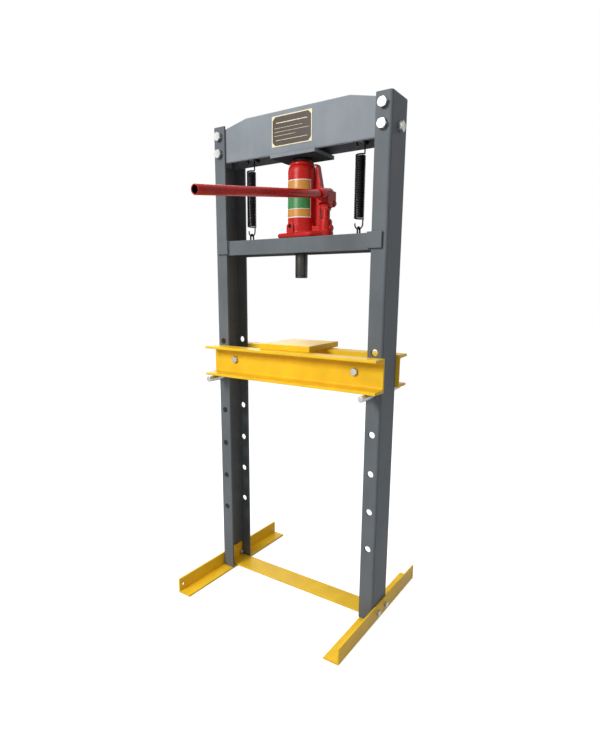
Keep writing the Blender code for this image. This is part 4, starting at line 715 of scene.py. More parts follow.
class PRESS_OT_finishes(DressingOperator, bpy.types.Operator):
    """Makes the paints, metals and printed surfaces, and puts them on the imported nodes"""

    bl_idname = "press.finishes"
    bl_label = "Finishes"

    def execute(self, context):
        colours = context.scene.press_colours
        slate = tuple(colours.slate)
        zinc = tuple(colours.zinc)
        black = tuple(colours.blackened)
        ground = (0.065, 0.062, 0.056, 1.0)
        chrome = (0.72, 0.72, 0.72, 1.0)
        bare = (0.32, 0.31, 0.30, 1.0)
        worn_yellow = (0.62, 0.42, 0.10, 1.0)
        worn_red = (0.16, 0.012, 0.010, 1.0)
        rust = (0.06, 0.035, 0.02, 1.0)
        painted = {
            "slate_paint": (slate, scaled(slate, 2.2), 0.50, 0.55, 0.05, 0.0012, 9.0, 0.12),
            # The beam's paint is the slate paint 1.78 times lighter: a painted lit copy, standing for the light
            # on its front
            "beam_paint": (scaled(slate, 1.78), scaled(slate, 2.5), 0.46, 0.55, 0.05, 0.0012, 9.0, 0.12),
            # The head plate's paint is a painted lit copy of the slate paint, 1.9 times lighter, and its
            # downward faces take painted shade at 0.20 of that
            "head_paint": (scaled(slate, 1.9), scaled(slate, 2.6), 0.55, 0.5, 0.05, 0.0012, 9.0, 0.0, 0.20),
            "yellow_paint": (tuple(colours.yellow), worn_yellow, 0.34, 0.5, 0.05, 0.0012, 9.0, 0.10),
            "red_paint": (tuple(colours.red), worn_red, 0.27, 0.5, 0.10, 0.0016, 25.0, 0.20),
            "plate_enamel": (tuple(colours.plate_line), bare, 0.36, 0.0, 0.05, 0.0003),
            "plate_field": (tuple(colours.plate_field), bare, 0.34, 0.0, 0.05, 0.0003),
        }
        plated = {
            "zinc_plate": (zinc, 0.42, (1.0, 0.2, 1.0), 0.75, 0.10),
            "black_steel": (black, 0.42, (1.0, 1.0, 0.3), 0.6, 0.12),
            "ground_steel": (ground, 0.38, (1.0, 1.0, 0.05), 0.7, 0.2, 0.4, rust),
            "chromed_steel": (chrome, 0.14),
        }
        for name, values in painted.items():
            FINISHES[name] = paint(name, *values)
        for name, values in plated.items():
            FINISHES[name] = metal(name, *values)
        slots = {row["node"]: row["material_slot"] for row in frame["record"]["subparts"]}
        # The top beam wears the painted lit copy of the slate paint
        own = {"top_beam": "beam_paint", "release_valve": "black_steel"}
        for name, node in frame["nodes"].items():
            node.data.materials.clear()
            node.data.materials.append(FINISHES[own.get(name, slots[name])])
        return {"FINISHED"}


class PRESS_OT_springs(DressingOperator, bpy.types.Operator):
    """Winds the two return springs with their hooks, and bends the eyes that hold them"""

    bl_idname = "press.springs"
    bl_label = "Return springs"

    def execute(self, context):
        for side in ("left", "right"):
            self.spring(context.scene.press_sizes, side)
            self.eye(side)
        return {"FINISHED"}

    def spring(self, sizes, side):
        """Hook, coil and hook as one path. Coil: (R cos a, R sin a, z) with a and z rising together."""
        node = f"return_spring_{side}"
        low, high = span(node)
        wire = sizes.spring_wire
        centre = (low + high) / 2
        coil_radius = sizes.spring_radius - wire
        eye_top = span(f"spring_eye_{side}")[1][2]
        rod_low, rod_high = span(f"spring_rod_{side}")
        eye_wire = 4.4 * MM
        drawn_out = 27.0 * MM
        hook_low = eye_top - eye_wire - wire - GAP
        hook_high = rod_high[2] + wire + GAP
        ring = coil_radius * 0.93
        lower_centre = hook_low + ring
        upper_centre = hook_high - ring
        coil_low = lower_centre + ring + 1.3 * wire
        coil_high = upper_centre - drawn_out
        opening = math.radians(72)
        turn = np.linspace(math.pi / 2 + opening, 2 * math.pi, 40)
        lower = np.stack([ring * np.cos(turn), 0 * turn, lower_centre + ring * np.sin(turn)], axis=1)
        lift = np.linspace(0, 1, 8)[1:-1]
        rise = np.stack([ring + (coil_radius - ring) * lift, 0 * lift,
                         lower_centre + (coil_low - lower_centre) * (1 - (1 - lift) ** 2)], axis=1)
        angle = np.linspace(0, 2 * math.pi * sizes.spring_turns, sizes.spring_turns * 28)
        height = np.linspace(coil_low, coil_high, len(angle))
        coil = np.stack([coil_radius * np.cos(angle), coil_radius * np.sin(angle), height], axis=1)
        neck = np.stack([coil_radius + (ring - coil_radius) * lift, 0 * lift,
                         coil_high + (upper_centre - coil_high) * lift ** 2], axis=1)
        turn = np.linspace(0, 1.5 * math.pi - opening + 0.6, 40)
        upper = np.stack([ring * np.cos(turn), 0 * turn, upper_centre + ring * np.sin(turn)], axis=1)
        path = np.vstack([lower, rise, coil, neck, upper])
        path[:, :2] += centre[:2]
        made = piece(f"spring_{side}", [swept(self.eased(path), wire, 10)], "black_steel", None, node, 80.0)
        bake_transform(made)

    def eased(self, path):
        """Softens kinks: each pass takes a point a quarter of the way to the mean of its neighbours."""
        for _ in range(3):
            path[1:-1] = 0.5 * path[1:-1] + 0.25 * (path[:-2] + path[2:])
        return path

    def eye(self, side):
        """A bow of wire: two straight legs and half a ring between them."""
        node = f"spring_eye_{side}"
        low, high = span(node)
        wire = (high[0] - low[0]) / 2
        centre = (low + high) / 2
        bow = (high[1] - low[1]) / 2 - wire
        turn = np.linspace(math.pi, 0, 24)
        top = high[2] - wire - bow
        leg = np.linspace(low[2], top, 6)[:-1]
        left = np.stack([0 * leg, 0 * leg - bow, leg], axis=1)
        arch = np.stack([0 * turn, bow * np.cos(turn), top + bow * np.sin(turn)], axis=1)
        right = left[::-1] * np.array([1, -1, 1])
        path = np.vstack([left, arch, right])
        path[:, :2] += centre[:2]
        blob = rounded([(wire * 1.9, 0), (wire * 1.9, 0.9 * MM), (wire * 1.1, 2.2 * MM)], 0.5 * MM)
        shells = [swept(path, wire, 14)]
        shells += [turned(blob, (centre[0], centre[1] + way * bow, low[2]), segments=24) for way in (-1, 1)]
        piece(f"hook_eye_{side}", shells, "black_steel", "crosshead", node, 60.0)


# Across flats, head height, shank radius and nut height
BEAM_BOLT = (20.5 * MM, 9 * MM, 8 * MM, 13 * MM)
FOOT_BOLT = (13 * MM, 5.5 * MM, 4 * MM, 6.5 * MM)
BED_BOLT = (17 * MM, 6.4 * MM, 5 * MM, 0)


def head_and_nut(node, direction, sizes, turn):
    """Shells of a bolt along a direction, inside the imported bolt's box: head, shank, thread and nut."""
    across, head, radius, nut = sizes
    low, high = span(node)
    slot = int(np.argmax(np.abs(direction)))
    sign = direction[slot]
    centre = (low + high) / 2
    start = (low if sign > 0 else high)[slot]
    end = (high if sign > 0 else low)[slot]
    direction = np.array(direction, float)

    def at(level):
        place = centre.copy()
        place[slot] = level
        return place

    seat = start + sign * head
    shells = [hex_head(at(seat), -direction, across, head, turn)]
    shank_end = abs(end - seat)
    plain = rounded([(radius, 0.0), (radius, shank_end - (nut + 2 * MM if nut else 12 * MM))], 0)
    thread = thread_profile(radius, plain[-1, 1], shank_end - 0.6 * MM, 1.5 * MM)
    profile = np.vstack([plain[:-1], thread, [(radius - 1 * MM, shank_end)]])
    shells.append(turned(profile, at(seat), direction, 32))
    if nut:
        nut_top = end - sign * 1.0 * MM
        shells.append(hex_head(at(nut_top - sign * nut), direction, across, nut, turn + 13, False))
    return shells


class PRESS_OT_fasteners(DressingOperator, bpy.types.Operator):
    """Cuts the hexagon bolts and nuts of the beam, the feet and the bed"""

    bl_idname = "press.fasteners"
    bl_label = "Bolts and nuts"

    def execute(self, context):
        turns = iter((8, 21, 35, 52, 14, 3, 44, 27, 19, 33, 11, 40, 6, 49))
        for side in ("left", "right"):
            for facing, way in (("front", 1), ("rear", -1)):
                for level in ("upper", "lower"):
                    node = f"top_bolt_{facing}_{side}_{level}"
                    self.bolt(node, head_and_nut(node, (0, way, 0), BEAM_BOLT, next(turns)), "frame")
            way = 1 if side == "left" else -1
            node = f"web_bolt_{side}"
            self.bolt(node, head_and_nut(node, (way, 0, 0), BEAM_BOLT, 5), "frame")
            for facing in ("front", "rear"):
                node = f"foot_bolt_{side}_{facing}"
                self.bolt(node, head_and_nut(node, (way, 0, 0), FOOT_BOLT, next(turns)), "frame")
            node = f"bed_bolt_{side}"
            self.bolt(node, head_and_nut(node, (0, 1, 0), BED_BOLT, 9), "bed")
            node = f"bed_nut_{side}"
            low, high = span(node)
            place = (low + high) / 2
            place[1] = low[1]
            ring = hex_head(place, (0, 1, 0), BED_BOLT[0], high[1] - low[1], 20, False)
            self.bolt(node, [ring], "bed")
        return {"FINISHED"}

    def bolt(self, node, shells, body):
        piece(node.replace("bolt", "screw").replace("nut", "hexnut"), shells, "zinc_plate", body, node, 30.0)


class PRESS_OT_crosshead(DressingOperator, bpy.types.Operator):
    """Folds the crosshead, and adds its guide plates, welds and ram"""

    bl_idname = "press.crosshead"
    bl_label = "Crosshead and ram"

    def execute(self, context):
        sizes = context.scene.press_sizes
        low, high = span("crosshead")
        front, back = low[1], high[1]
        wall = 5 * MM
        web = 6 * MM
        outer = rail([(front, low[2]), (front, high[2]), (back, high[2]), (back, low[2])], [3 * MM, 3 * MM])
        inner = rail([(front + wall, low[2]), (front + wall, high[2] - web), (back - wall, high[2] - web),
                      (back - wall, low[2])], [0.6 * MM, 0.6 * MM])
        body = piece("crosshead_channel", [folded(outer, inner, "X", low[0], high[0])], "slate_paint",
                     "crosshead", "crosshead")
        finish_edges(body, 0.5 * MM, 2)
        for side in ("left", "right"):
            for facing in ("front", "rear"):
                node = f"guide_plate_{facing}_{side}"
                plate = piece(f"{node}_cut", [block(*span(node))], "slate_paint", "crosshead", node)
                finish_edges(plate, sizes.sheet_edge)
        self.guide_welds(sizes)
        self.ram()
        return {"FINISHED"}

    def guide_welds(self, sizes):
        """Beads up the inner end of each guide plate and along its top, where it lies on the crosshead."""
        seed = 10
        shells = []
        for side, way in (("left", 1), ("right", -1)):
            for facing in ("front", "rear"):
                low, high = span(f"guide_plate_{facing}_{side}")
                inner = high[0] if way > 0 else low[0]
                face = high[1] if facing == "front" else low[1]
                edge = np.array([inner, face, low[2] + 2 * MM])
                rise = [0, 0, high[2] - low[2] - 3.5 * MM]
                shells.append(weld_bead(edge, edge + rise, sizes.weld_radius, seed=seed))
                outer = span("crosshead")[0][0] if way > 0 else span("crosshead")[1][0]
                crest = np.array([inner, face, span("crosshead")[1][2] + 0.2 * MM])
                run = crest.copy()
                run[0] = outer + way * 2 * MM
                shells.append(weld_bead(crest, run, sizes.weld_radius * 0.7, seed=seed + 1))
                seed += 2
        piece("guide_welds", shells, "slate_paint", "crosshead", smooth_deg=60.0)

    def ram(self):
        """The bar with a turned groove near its tip, and the ring of weld that holds it."""
        low, high = span("press_ram")
        centre = (low + high) / 2
        radius = (high[0] - low[0]) / 2
        tall = high[2] - low[2]
        profile = [(radius * 0.3, 0), (radius - 1.5 * MM, 0), (radius, 1.5 * MM), (radius, 5 * MM)]
        profile += [(radius - 0.8 * MM, 5.2 * MM), (radius - 0.8 * MM, 6.2 * MM), (radius, 6.4 * MM)]
        profile += [(radius, tall - 1 * MM), (radius * 0.4, tall)]
        bar = turned(rounded(profile, 0.5 * MM, 3), (centre[0], centre[1], low[2]), segments=96)
        ring = np.linspace(0, 2 * math.pi, 220)
        ripple = 2.2 * MM * (0.85 + 0.2 * np.abs(np.sin(ring * 14)))
        wide = radius + 1.2 * MM
        path = np.stack([wide * np.cos(ring), wide * np.sin(ring), 0 * ring + high[2] - 1.6 * MM], axis=1)
        path[:, :2] += centre[:2]
        piece("ram_bar", [bar], "ground_steel", "crosshead", "press_ram")
        piece("ram_weld", [swept(path, ripple, 10, (0, 0, 1))], "slate_paint", "crosshead", smooth_deg=60.0)


class PRESS_OT_beam(DressingOperator, bpy.types.Operator):
    """Adds the head plate, its welds, the collar and the rating plate to the beam"""

    bl_idname = "press.beam"
    bl_label = "Head plate and rating plate"

    def execute(self, context):
        sizes = context.scene.press_sizes
        low, high = span("head_plate")
        narrower = 2.5 * MM
        low[1] += narrower
        high[1] -= narrower
        # Its paint is a painted lit copy of the slate paint, with painted shade on its underside
        plate = piece("head_plate_cut", [block(low, high)], "head_paint", "frame", "head_plate")
        finish_edges(plate, 1.0 * MM)
        beam_low, beam_high = span("top_beam")
        radius = sizes.weld_radius * 1.15
        shells = []
        for number, face in enumerate((beam_low[1] - 0.2 * MM, beam_high[1] + 0.2 * MM)):
            start = (low[0] + 3 * MM, face, high[2] + 0.2 * MM)
            end = (high[0] - 3 * MM, face, high[2] + 0.2 * MM)
            shells.append(weld_bead(start, end, radius, seed=40 + number))
        piece("head_plate_welds", shells, "slate_paint", "frame", smooth_deg=60.0)
        self.collar()
        self.rating_plate()
        return {"FINISHED"}

    def collar(self):
        low, high = span("saddle_collar")
        centre = (low + high) / 2
        outer = (high[0] - low[0]) / 2
        inner = outer - 4.5 * MM
        tall = 7.5 * MM
        section = rounded([(inner, 0), (outer, 0), (outer, tall), (inner, tall)], 0.8 * MM, 4, True)
        ring = turned(section, (centre[0], centre[1], high[2] - tall), segments=72, closed=True)
        piece("collar_ring", [ring], "black_steel", "frame", "saddle_collar")

    def rating_plate(self):
        """A thin plate with a raised border, a dark field whose corners are cut off, and ruled lines."""
        low, high = span("rating_plate")
        face = low[1]
        base = piece("rating_plate_sheet", [block(low + [0, 0.25 * MM, 0], high)], "plate_enamel", "frame",
                     "rating_plate")
        finish_edges(base, 0.15 * MM, 2)
        border = 2.4 * MM
        cut = 8.0 * MM
        x0, x1 = low[0] + border, high[0] - border
        z0, z1 = low[2] + border, high[2] - border
        outline = [(x0 + cut, z0), (x1 - cut, z0), (x1, z0 + cut), (x1, z1 - cut),
                   (x1 - cut, z1), (x0 + cut, z1), (x0, z1 - cut), (x0, z0 + cut)]
        field = prism(outline, "Y", face + 0.10 * MM, face + 0.4 * MM)
        piece("rating_plate_field", [field], "plate_field", "frame")
        rows = []
        ruled = ((0.78, 1.7, 0.10, 0.90), (0.60, 0.7, 0.05, 0.78), (0.47, 0.7, 0.05, 0.95),
                 (0.34, 0.7, 0.05, 0.60), (0.18, 1.0, 0.09, 0.91))
        for share, thick, start, end in ruled:
            height = z0 + share * (z1 - z0)
            left = x0 + start * (x1 - x0)
            right = x0 + end * (x1 - x0)
            half = thick * MM / 2
            rows.append(block((left, face, height - half), (right, face + 0.2 * MM, height + half)))
        piece("rating_plate_lines", rows, "plate_enamel", "frame")


class PRESS_OT_bed(DressingOperator, bpy.types.Operator):
    """Rolls the bed's channels, and adds the loose plate, the spacers and the pins"""

    bl_idname = "press.bed"
    bl_label = "Bed"

    def execute(self, context):
        for facing, way in (("front", -1), ("rear", 1)):
            self.channel(facing, way)
        self.plate()
        for side in ("left", "right"):
            self.pin(side)
            self.spacer(side)
        return {"FINISHED"}

    def channel(self, facing, way):
        """The rolled section: web, two flanges that thin towards the tips, and a fillet at each root."""
        node = f"bed_channel_{facing}"
        low, high = span(node)
        back, tip = (high[1], low[1]) if way < 0 else (low[1], high[1])
        web, root, edge = 5 * MM, 8.5 * MM, 6.5 * MM
        face = back + way * web
        outer = rail([(tip, low[2]), (back, low[2]), (back, high[2]), (tip, high[2])], [1.2 * MM, 1.2 * MM])
        inner = rail([(tip, low[2] + edge), (face, low[2] + root), (face, high[2] - root),
                      (tip, high[2] - edge)], [6 * MM, 6 * MM])
        made = piece(f"channel_{facing}", [folded(outer, inner, "X", low[0], high[0])], "yellow_paint",
                     "bed", node)
        finish_edges(made, 1.0 * MM, 3)

    def plate(self):
        """The loose plate, drawn square on its own middle and then turned to lie as it does on the bed."""
        node = frame["nodes"]["press_plate"]
        place = np.zeros(len(node.data.vertices) * 3)
        node.data.vertices.foreach_get("co", place)
        points = place.reshape(-1, 3)
        centre = (points.min(axis=0) + points.max(axis=0)) / 2
        turn = math.radians(4.4)
        half = np.array([75, 85, 7.5]) * MM
        corners, faces = block(-half, half)
        cosine, sine = math.cos(turn), math.sin(turn)
        spin = np.array([[cosine, sine, 0], [-sine, cosine, 0], [0, 0, 1]])
        made = piece("bed_plate", [(corners @ spin + centre, faces)], "yellow_paint", "press_plate",
                     "press_plate")
        finish_edges(made, 0.9 * MM)

    def pin(self, side):
        node = f"bed_pin_{side}"
        low, high = span(node)
        centre = (low + high) / 2
        radius = (high[0] - low[0]) / 2
        length = high[1] - low[1]
        rim = 1.2 * MM
        profile = [(radius * 0.2, 0.1 * MM), (radius - rim, 0), (radius, rim), (radius, length - rim)]
        profile += [(radius - rim, length), (radius * 0.2, length - 0.1 * MM)]
        bar = turned(rounded(profile, 0.4 * MM, 3), (centre[0], low[1], centre[2]), (0, 1, 0), 48)
        piece(f"pin_bar_{side}", [bar], "zinc_plate", node, node)

    def spacer(self, side):
        node = f"bed_spacer_{side}"
        low, high = span(node)
        centre = (low + high) / 2
        outer = (high[0] - low[0]) / 2
        length = high[1] - low[1]
        bore = 5.6 * MM
        section = [(bore, 0), (outer, 0), (outer, length), (bore, length)]
        section = rounded(section, 0.4 * MM, 2, True)
        tube = turned(section, (centre[0], low[1], centre[2]), (0, 1, 0), 40, True)
        piece(f"spacer_tube_{side}", [tube], "zinc_plate", "bed", node)


class PRESS_OT_base(DressingOperator, bpy.types.Operator):
    """Bends the tie bar between the feet"""

    bl_idname = "press.base"
    bl_label = "Tie bar"

    def execute(self, context):
        low, high = span("tie_bar")
        wall = 5 * MM
        outer = rail([(low[0], high[2]), (low[0], low[2]), (high[0], low[2]), (high[0], high[2])],
                     [6.5 * MM, 6.5 * MM])
        left, right, floor = low[0] + wall, high[0] - wall, low[2] + wall
        inner = rail([(left, high[2]), (left, floor), (right, floor), (right, high[2])],
                     [1.5 * MM, 1.5 * MM])
        made = piece("tie_bar_strip", [folded(outer, inner, "Y", low[1], high[1])], "yellow_paint",
                     "frame", "tie_bar")
        finish_edges(made, context.scene.press_sizes.sheet_edge, 2)
        return {"FINISHED"}


class PRESS_OT_jack(DressingOperator, bpy.types.Operator):
    """Casts and turns the jack, and puts the banded label on its tank"""

    bl_idname = "press.jack"
    bl_label = "Bottle jack"

    def execute(self, context):
        self.foot()
        self.bracket()
        self.lever()
        self.tank()
        self.neck()
        self.screw()
        self.pump()
        self.handle()
        self.label(context.scene)
        return {"FINISHED"}

    def foot_row(self, inset, level):
        """The base's outline drawn in by an inset: a rounded oblong with a lobe that carries the pump."""
        pump_x = middle("pump_sleeve")[0]
        x0 = PRESS_AXIS[0] + FOOT_SHIFT
        y0 = PRESS_AXIS[1]
        half_x = FOOT_LENGTH / 2 - inset
        half_y = FOOT_DEPTH / 2 - inset
        corner = FOOT_CORNER - inset / 2
        lobe = FOOT_LOBE - inset / 8
        points = np.vstack([
            arc((x0 - half_x + corner, y0 - half_y + corner), corner, 180, 270),
            arc((x0 + half_x - corner, y0 - half_y + corner), corner, 270, 315, 8),
            arc((pump_x, y0), lobe, -80, 80, 24),
            arc((x0 + half_x - corner, y0 + half_y - corner), corner, 45, 90, 8),
            arc((x0 - half_x + corner, y0 + half_y - corner), corner, 90, 180)])
        return np.column_stack([points, np.full(len(points), JACK_FLOOR + level)])

    def foot(self):
        """The cast base: a plate with a round edge, a boss each for tank, pump and valve, and a bridge."""
        x, y = PRESS_AXIS
        pump = middle("pump_sleeve")
        valve = middle("release_valve")
        valve_front = span("release_valve")[0][1] - 3.5 * MM
        levels = ((4.0, 0.0), (1.2, 1.4), (0.0, 4.5), (0.0, 8.5), (1.5, 10.4), (5.0, 11.8), (14.0, 14.5))
        plate = shell(np.array([self.foot_row(inset * MM, level * MM) for inset, level in levels]))
        deep = 2 * MM
        pole = 1 * MM
        seat = TANK_RADIUS + GAP
        well = 24.3 * MM
        boss = rounded([(pole, deep), (BOSS_RADIUS, deep), (BOSS_RADIUS, BOSS_TOP), (seat, BOSS_TOP),
                        (seat, BOSS_TOP - BOSS_SEAT), (well, BOSS_TOP - BOSS_SEAT), (well, 16 * MM),
                        (pole, 16 * MM)], 1.2 * MM, 3)
        bore = 14.0 * MM
        pump_boss = rounded([(pole, deep), (PUMP_BOSS_RADIUS, deep), (PUMP_BOSS_RADIUS, PUMP_BOSS_TOP),
                             (bore, PUMP_BOSS_TOP), (bore, 12 * MM), (pole, 12 * MM)], 0.8 * MM, 3)
        bridge = block((x + TANK_RADIUS + 1.5 * MM, y - BRIDGE_HALF, JACK_FLOOR + deep),
                       (pump[0], y + BRIDGE_HALF, JACK_FLOOR + BRIDGE_TOP))
        corner = np.radians(np.arange(0, 360, 60))
        plug_outline = 8.1 * MM * np.stack([np.cos(corner), np.sin(corner)], axis=1)
        plug = prism(plug_outline + (y, JACK_FLOOR + 21 * MM), "X", pump[0], pump[0] + 18.7 * MM)
        half = 10.5 * MM
        low = JACK_FLOOR + 8 * MM
        column = np.vstack([arc((valve[0], valve[2]), 9.2 * MM, 0, 180, 24),
                            [(valve[0] - half, low), (valve[0] + half, low)]])
        valve_block = prism(column, "Y", valve_front, y - 30 * MM)
        shells = [plate, turned(boss, (x, y, JACK_FLOOR), segments=96),
                  turned(pump_boss, (pump[0], y, JACK_FLOOR), segments=64), bridge, plug, valve_block]
        recess = turned([(4.8 * MM, -4 * MM), (4.8 * MM, 14.5 * MM)], (valve[0], valve_front, valve[2]),
                        (0, 1, 0), 40)
        casting("jack_base_casting", shells, "crosshead", "jack_base", 0.8 * MM, 5, [recess])

    def bracket(self):
        """A plate beside the lever with a web to the tank, whose top leans in over the cap."""
        outer = span("lever_bracket")[1][0]
        inner = outer - 6 * MM
        y = PRESS_AXIS[1]
        pin = middle("pivot_pin")
        knee = JACK_FLOOR + KNEE
        seat = JACK_FLOOR + BRIDGE_TOP + GAP
        plate = [(y - 3 * MM, seat), (y + 31 * MM, seat), (y + 31 * MM, pin[2] + 9 * MM), (y + 21 * MM, knee),
                 (y + 5 * MM, knee), (y - 3 * MM, pin[2])]
        neck = PRESS_AXIS[0] + CAP_RADIUS + 1.5 * MM
        side = PRESS_AXIS[0] + TANK_RADIUS + GAP
        clear = PRESS_AXIS[0] + BOSS_RADIUS + GAP
        step = 3 * MM
        top = JACK_FLOOR + TANK_TOP
        crown = top + 4 * MM
        rim = JACK_FLOOR + BOSS_TOP + GAP
        web = [(side, rim), (clear, rim), (clear, seat), (outer, seat), (outer, knee), (neck + 3 * step, top),
               (neck + 2 * step, crown), (neck, crown), (neck, top + GAP), (neck + step, top),
               (side, JACK_FLOOR + TANK_SHOULDER)]
        shells = [prism(plate, "X", inner, outer), prism(web, "Y", y + 5 * MM, y + 21 * MM)]
        bore = turned([(PIN_HOLE, 0), (PIN_HOLE, 12 * MM)], (inner - 3 * MM, pin[1], pin[2]), (1, 0, 0), 36)
        casting("lever_bracket_casting", shells, "crosshead", "lever_bracket", 0.6 * MM, 4, [bore])

    def lever(self):
        """The handle's socket on two cheeks that reach down to the piston, with a lug back to the pivot."""
        pin = middle("piston_pin")
        pivot = middle("pivot_pin")
        y = PRESS_AXIS[1]
        start, along, _, radius = self.handle_line()
        hub = start + along * ((start[1] - y) / -along[1])
        crest = hub[2]
        front = y - 15 * MM
        ledge = pin[2] + 4 * MM
        left, right = pin[0] - CHEEK_OUTSIDE, pin[0] + CHEEK_OUTSIDE
        shells = []
        for low, high in ((left, pin[0] - CHEEK_INSIDE), (pin[0] + CHEEK_INSIDE, right)):
            cheek = np.vstack([arc((pin[1], pin[2]), CHEEK_RADIUS, 180, 360, 24),
                               [(y + CHEEK_RADIUS, crest), (front, crest), (front, ledge)]])
            shells.append(prism(cheek, "X", low, high))
        lug = np.vstack([arc((pivot[1], pivot[2]), LUG_RADIUS, 180, 360, 24),
                         [(pivot[1] + LUG_RADIUS, crest), (pivot[1] - LUG_RADIUS, crest)]])
        shells.append(prism(lug, "X", pin[0] - LUG_HALF, pin[0] + LUG_HALF))
        shells.append(block((left, y - CHEEK_RADIUS, crest - 7 * MM), (right, pivot[1], crest + 7 * MM)))
        shells.append(block((left, front, ledge), (right, y - 12.6 * MM, crest)))
        socket = rounded([(1 * MM, 0), (SOCKET_RADIUS, 0), (SOCKET_RADIUS, SOCKET_LENGTH),
                          (1 * MM, SOCKET_LENGTH)], 2.2 * MM, 4)
        shells.append(turned(socket, hub - along * SOCKET_BACK, along, 72))
        bore = radius + 0.8 * MM
        bores = [turned([(bore, -0.4 * MM), (bore, 60 * MM)], start, along, 72)]
        for centre in (pin, pivot):
            mouth = (pin[0] - 20 * MM, centre[1], centre[2])
            bores.append(turned([(PIN_HOLE, 0), (PIN_HOLE, 40 * MM)], mouth, (1, 0, 0), 36))
        casting("pump_lever_casting", shells, "pump_lever", "pump_lever", 0.55 * MM, 4, bores)

    def tank(self):
        """The shell: a tube drawn in at its shoulder by r = R - (R - cap) (1 - cos t), t up to a right angle."""
        foot = BOSS_TOP - 3.7 * MM
        tall = TANK_TOP - GAP - foot
        outer = TANK_RADIUS
        inner = outer - 3 * MM
        shoulder = TANK_SHOULDER - foot
        rise = tall - shoulder
        curve = np.linspace(0, math.pi / 2, 18)[1:]
        drawn = outer - (outer - CAP_RADIUS) * (1 - np.cos(curve))
        bulge = np.stack([drawn, shoulder + rise * np.sin(curve)], axis=1)
        start = [(inner, 0), (outer - 0.4 * MM, 0), (outer, 0.5 * MM), (outer, shoulder)]
        end = [(CAP_RADIUS - 3 * MM, tall), (inner, shoulder)]
        place = (*PRESS_AXIS, JACK_FLOOR + foot)
        wall = turned(np.vstack([start, bulge, end]), place, segments=128, closed=True)
        piece("tank_shell", [wall], "red_paint", "crosshead", "jack_tank")

    def neck(self):
        """The cap: a ring with a soft crown, and a thin wiper lip at the ram."""
        outer = CAP_RADIUS
        bore = 18.4 * MM
        spigot = 21.9 * MM
        depth = 12 * MM
        foot = JACK_FLOOR + TANK_TOP - depth
        tall = CAP_TOP - TANK_TOP + depth
        rest = depth + 0.2 * MM
        crown = tall - 0.2 * MM
        section = [(bore, 0), (spigot, 0), (spigot, rest), (outer - 1.2 * MM, rest),
                   (outer, depth + 1.4 * MM), (outer, tall - 4 * MM), (outer - 1.6 * MM, tall - 1.2 * MM),
                   (outer - 3.8 * MM, crown), (bore + 3 * MM, crown), (bore + 2 * MM, tall), (bore, tall)]
        section = rounded(section, 0.9 * MM, 3, True)
        ring = turned(section, (*PRESS_AXIS, foot), segments=128, closed=True)
        piece("cap_ring", [ring], "red_paint", "crosshead", "jack_cap")

    def screw(self):
        """The threaded screw with its saddle, and the bored ram that it stands in."""
        low, high = span("extension_screw")
        thread = 12 * MM
        head = (high[0] - low[0]) / 2
        seat = JACK_FLOOR + CAP_TOP + 0.6 * MM - low[2]
        tall = high[2] - low[2]
        stem = thread_profile(thread, 1.2 * MM, seat - 0.1 * MM, 3 * MM)
        top = rounded([(head - 1 * MM, seat), (head, seat + 1 * MM), (head, tall - 1.4 * MM),
                       (head - 1.6 * MM, tall), (head * 0.3, tall - 0.2 * MM)], 0.5 * MM, 3)
        profile = np.vstack([[(thread - 1.2 * MM, 0)], stem, top])
        shape = turned(profile, (*PRESS_AXIS, low[2]), segments=64)
        piece("saddle_screw", [shape], "black_steel", "frame", "extension_screw")
        low, high = span("jack_ram")
        outer = (high[0] - low[0]) / 2
        tall = JACK_FLOOR + CAP_TOP + GAP - low[2]
        bore = thread + GAP
        section = [(outer, 0), (outer, tall), (bore, tall), (bore, tall - 87 * MM)]
        rod = turned(rounded(section, 0.5 * MM, 3), (*PRESS_AXIS, low[2]), segments=96)
        piece("ram_rod", [rod], "chromed_steel", "frame", "jack_ram")

    def pump(self):
        """The sleeve that the piston runs in, and the lever's two pins."""
        low, high = span("pump_sleeve")
        centre = (low + high) / 2
        outer = SLEEVE_RADIUS
        tall = high[2] - low[2]
        bore = (span("pump_piston")[1][0] - span("pump_piston")[0][0]) / 2 + GAP
        section = [(bore, 0), (outer, 0), (outer, tall - 1 * MM), (outer - 1 * MM, tall), (bore, tall)]
        section = rounded(section, 0.5 * MM, 3, True)
        sleeve = turned(section, (centre[0], centre[1], low[2]), segments=64, closed=True)
        piece("sleeve_ring", [sleeve], "red_paint", "crosshead", "pump_sleeve")
        self.pin("piston_pin", "yoke_pin", "pump_lever")
        self.pin("pivot_pin", "lever_pin", "crosshead")

    def pin(self, node, name, body):
        """A pin with softened ends. The one that rides on the jack's body has a head at its right end."""
        low, high = span(node)
        centre = (low + high) / 2
        length = high[0] - low[0]
        radius = PIN_RADIUS
        profile = [(radius * 0.2, 0), (radius - 0.5 * MM, 0), (radius, 0.5 * MM)]
        if body == "crosshead":
            head = (high[1] - low[1]) / 2
            profile += [(radius, length - 3 * MM), (head, length - 3 * MM), (head, length - 0.6 * MM)]
            profile += [(head - 0.8 * MM, length), (radius * 0.2, length)]
        else:
            profile += [(radius, length - 0.5 * MM), (radius - 0.5 * MM, length), (radius * 0.2, length)]
        rod = turned(rounded(profile, 0.3 * MM, 3), (low[0], centre[1], centre[2]), (1, 0, 0), 36)
        piece(name, [rod], "red_paint", body, node)

    def handle(self):
        """A painted tube along the line from its socket to its open end, and a near-black skin in its bore: its
        unpainted steel, darkened further as painted shade inside the tube.
        """
        start, along, length, radius = self.handle_line()
        radius += 0.5 * MM
        bore = radius - 2 * MM
        section = rounded([(bore, 0), (radius, 0), (radius, length), (bore, length)], 0.8 * MM, 4, True)
        piece("handle_tube", [turned(section, start, along, 64, True)], "red_paint", "jack_handle",
              "jack_handle")
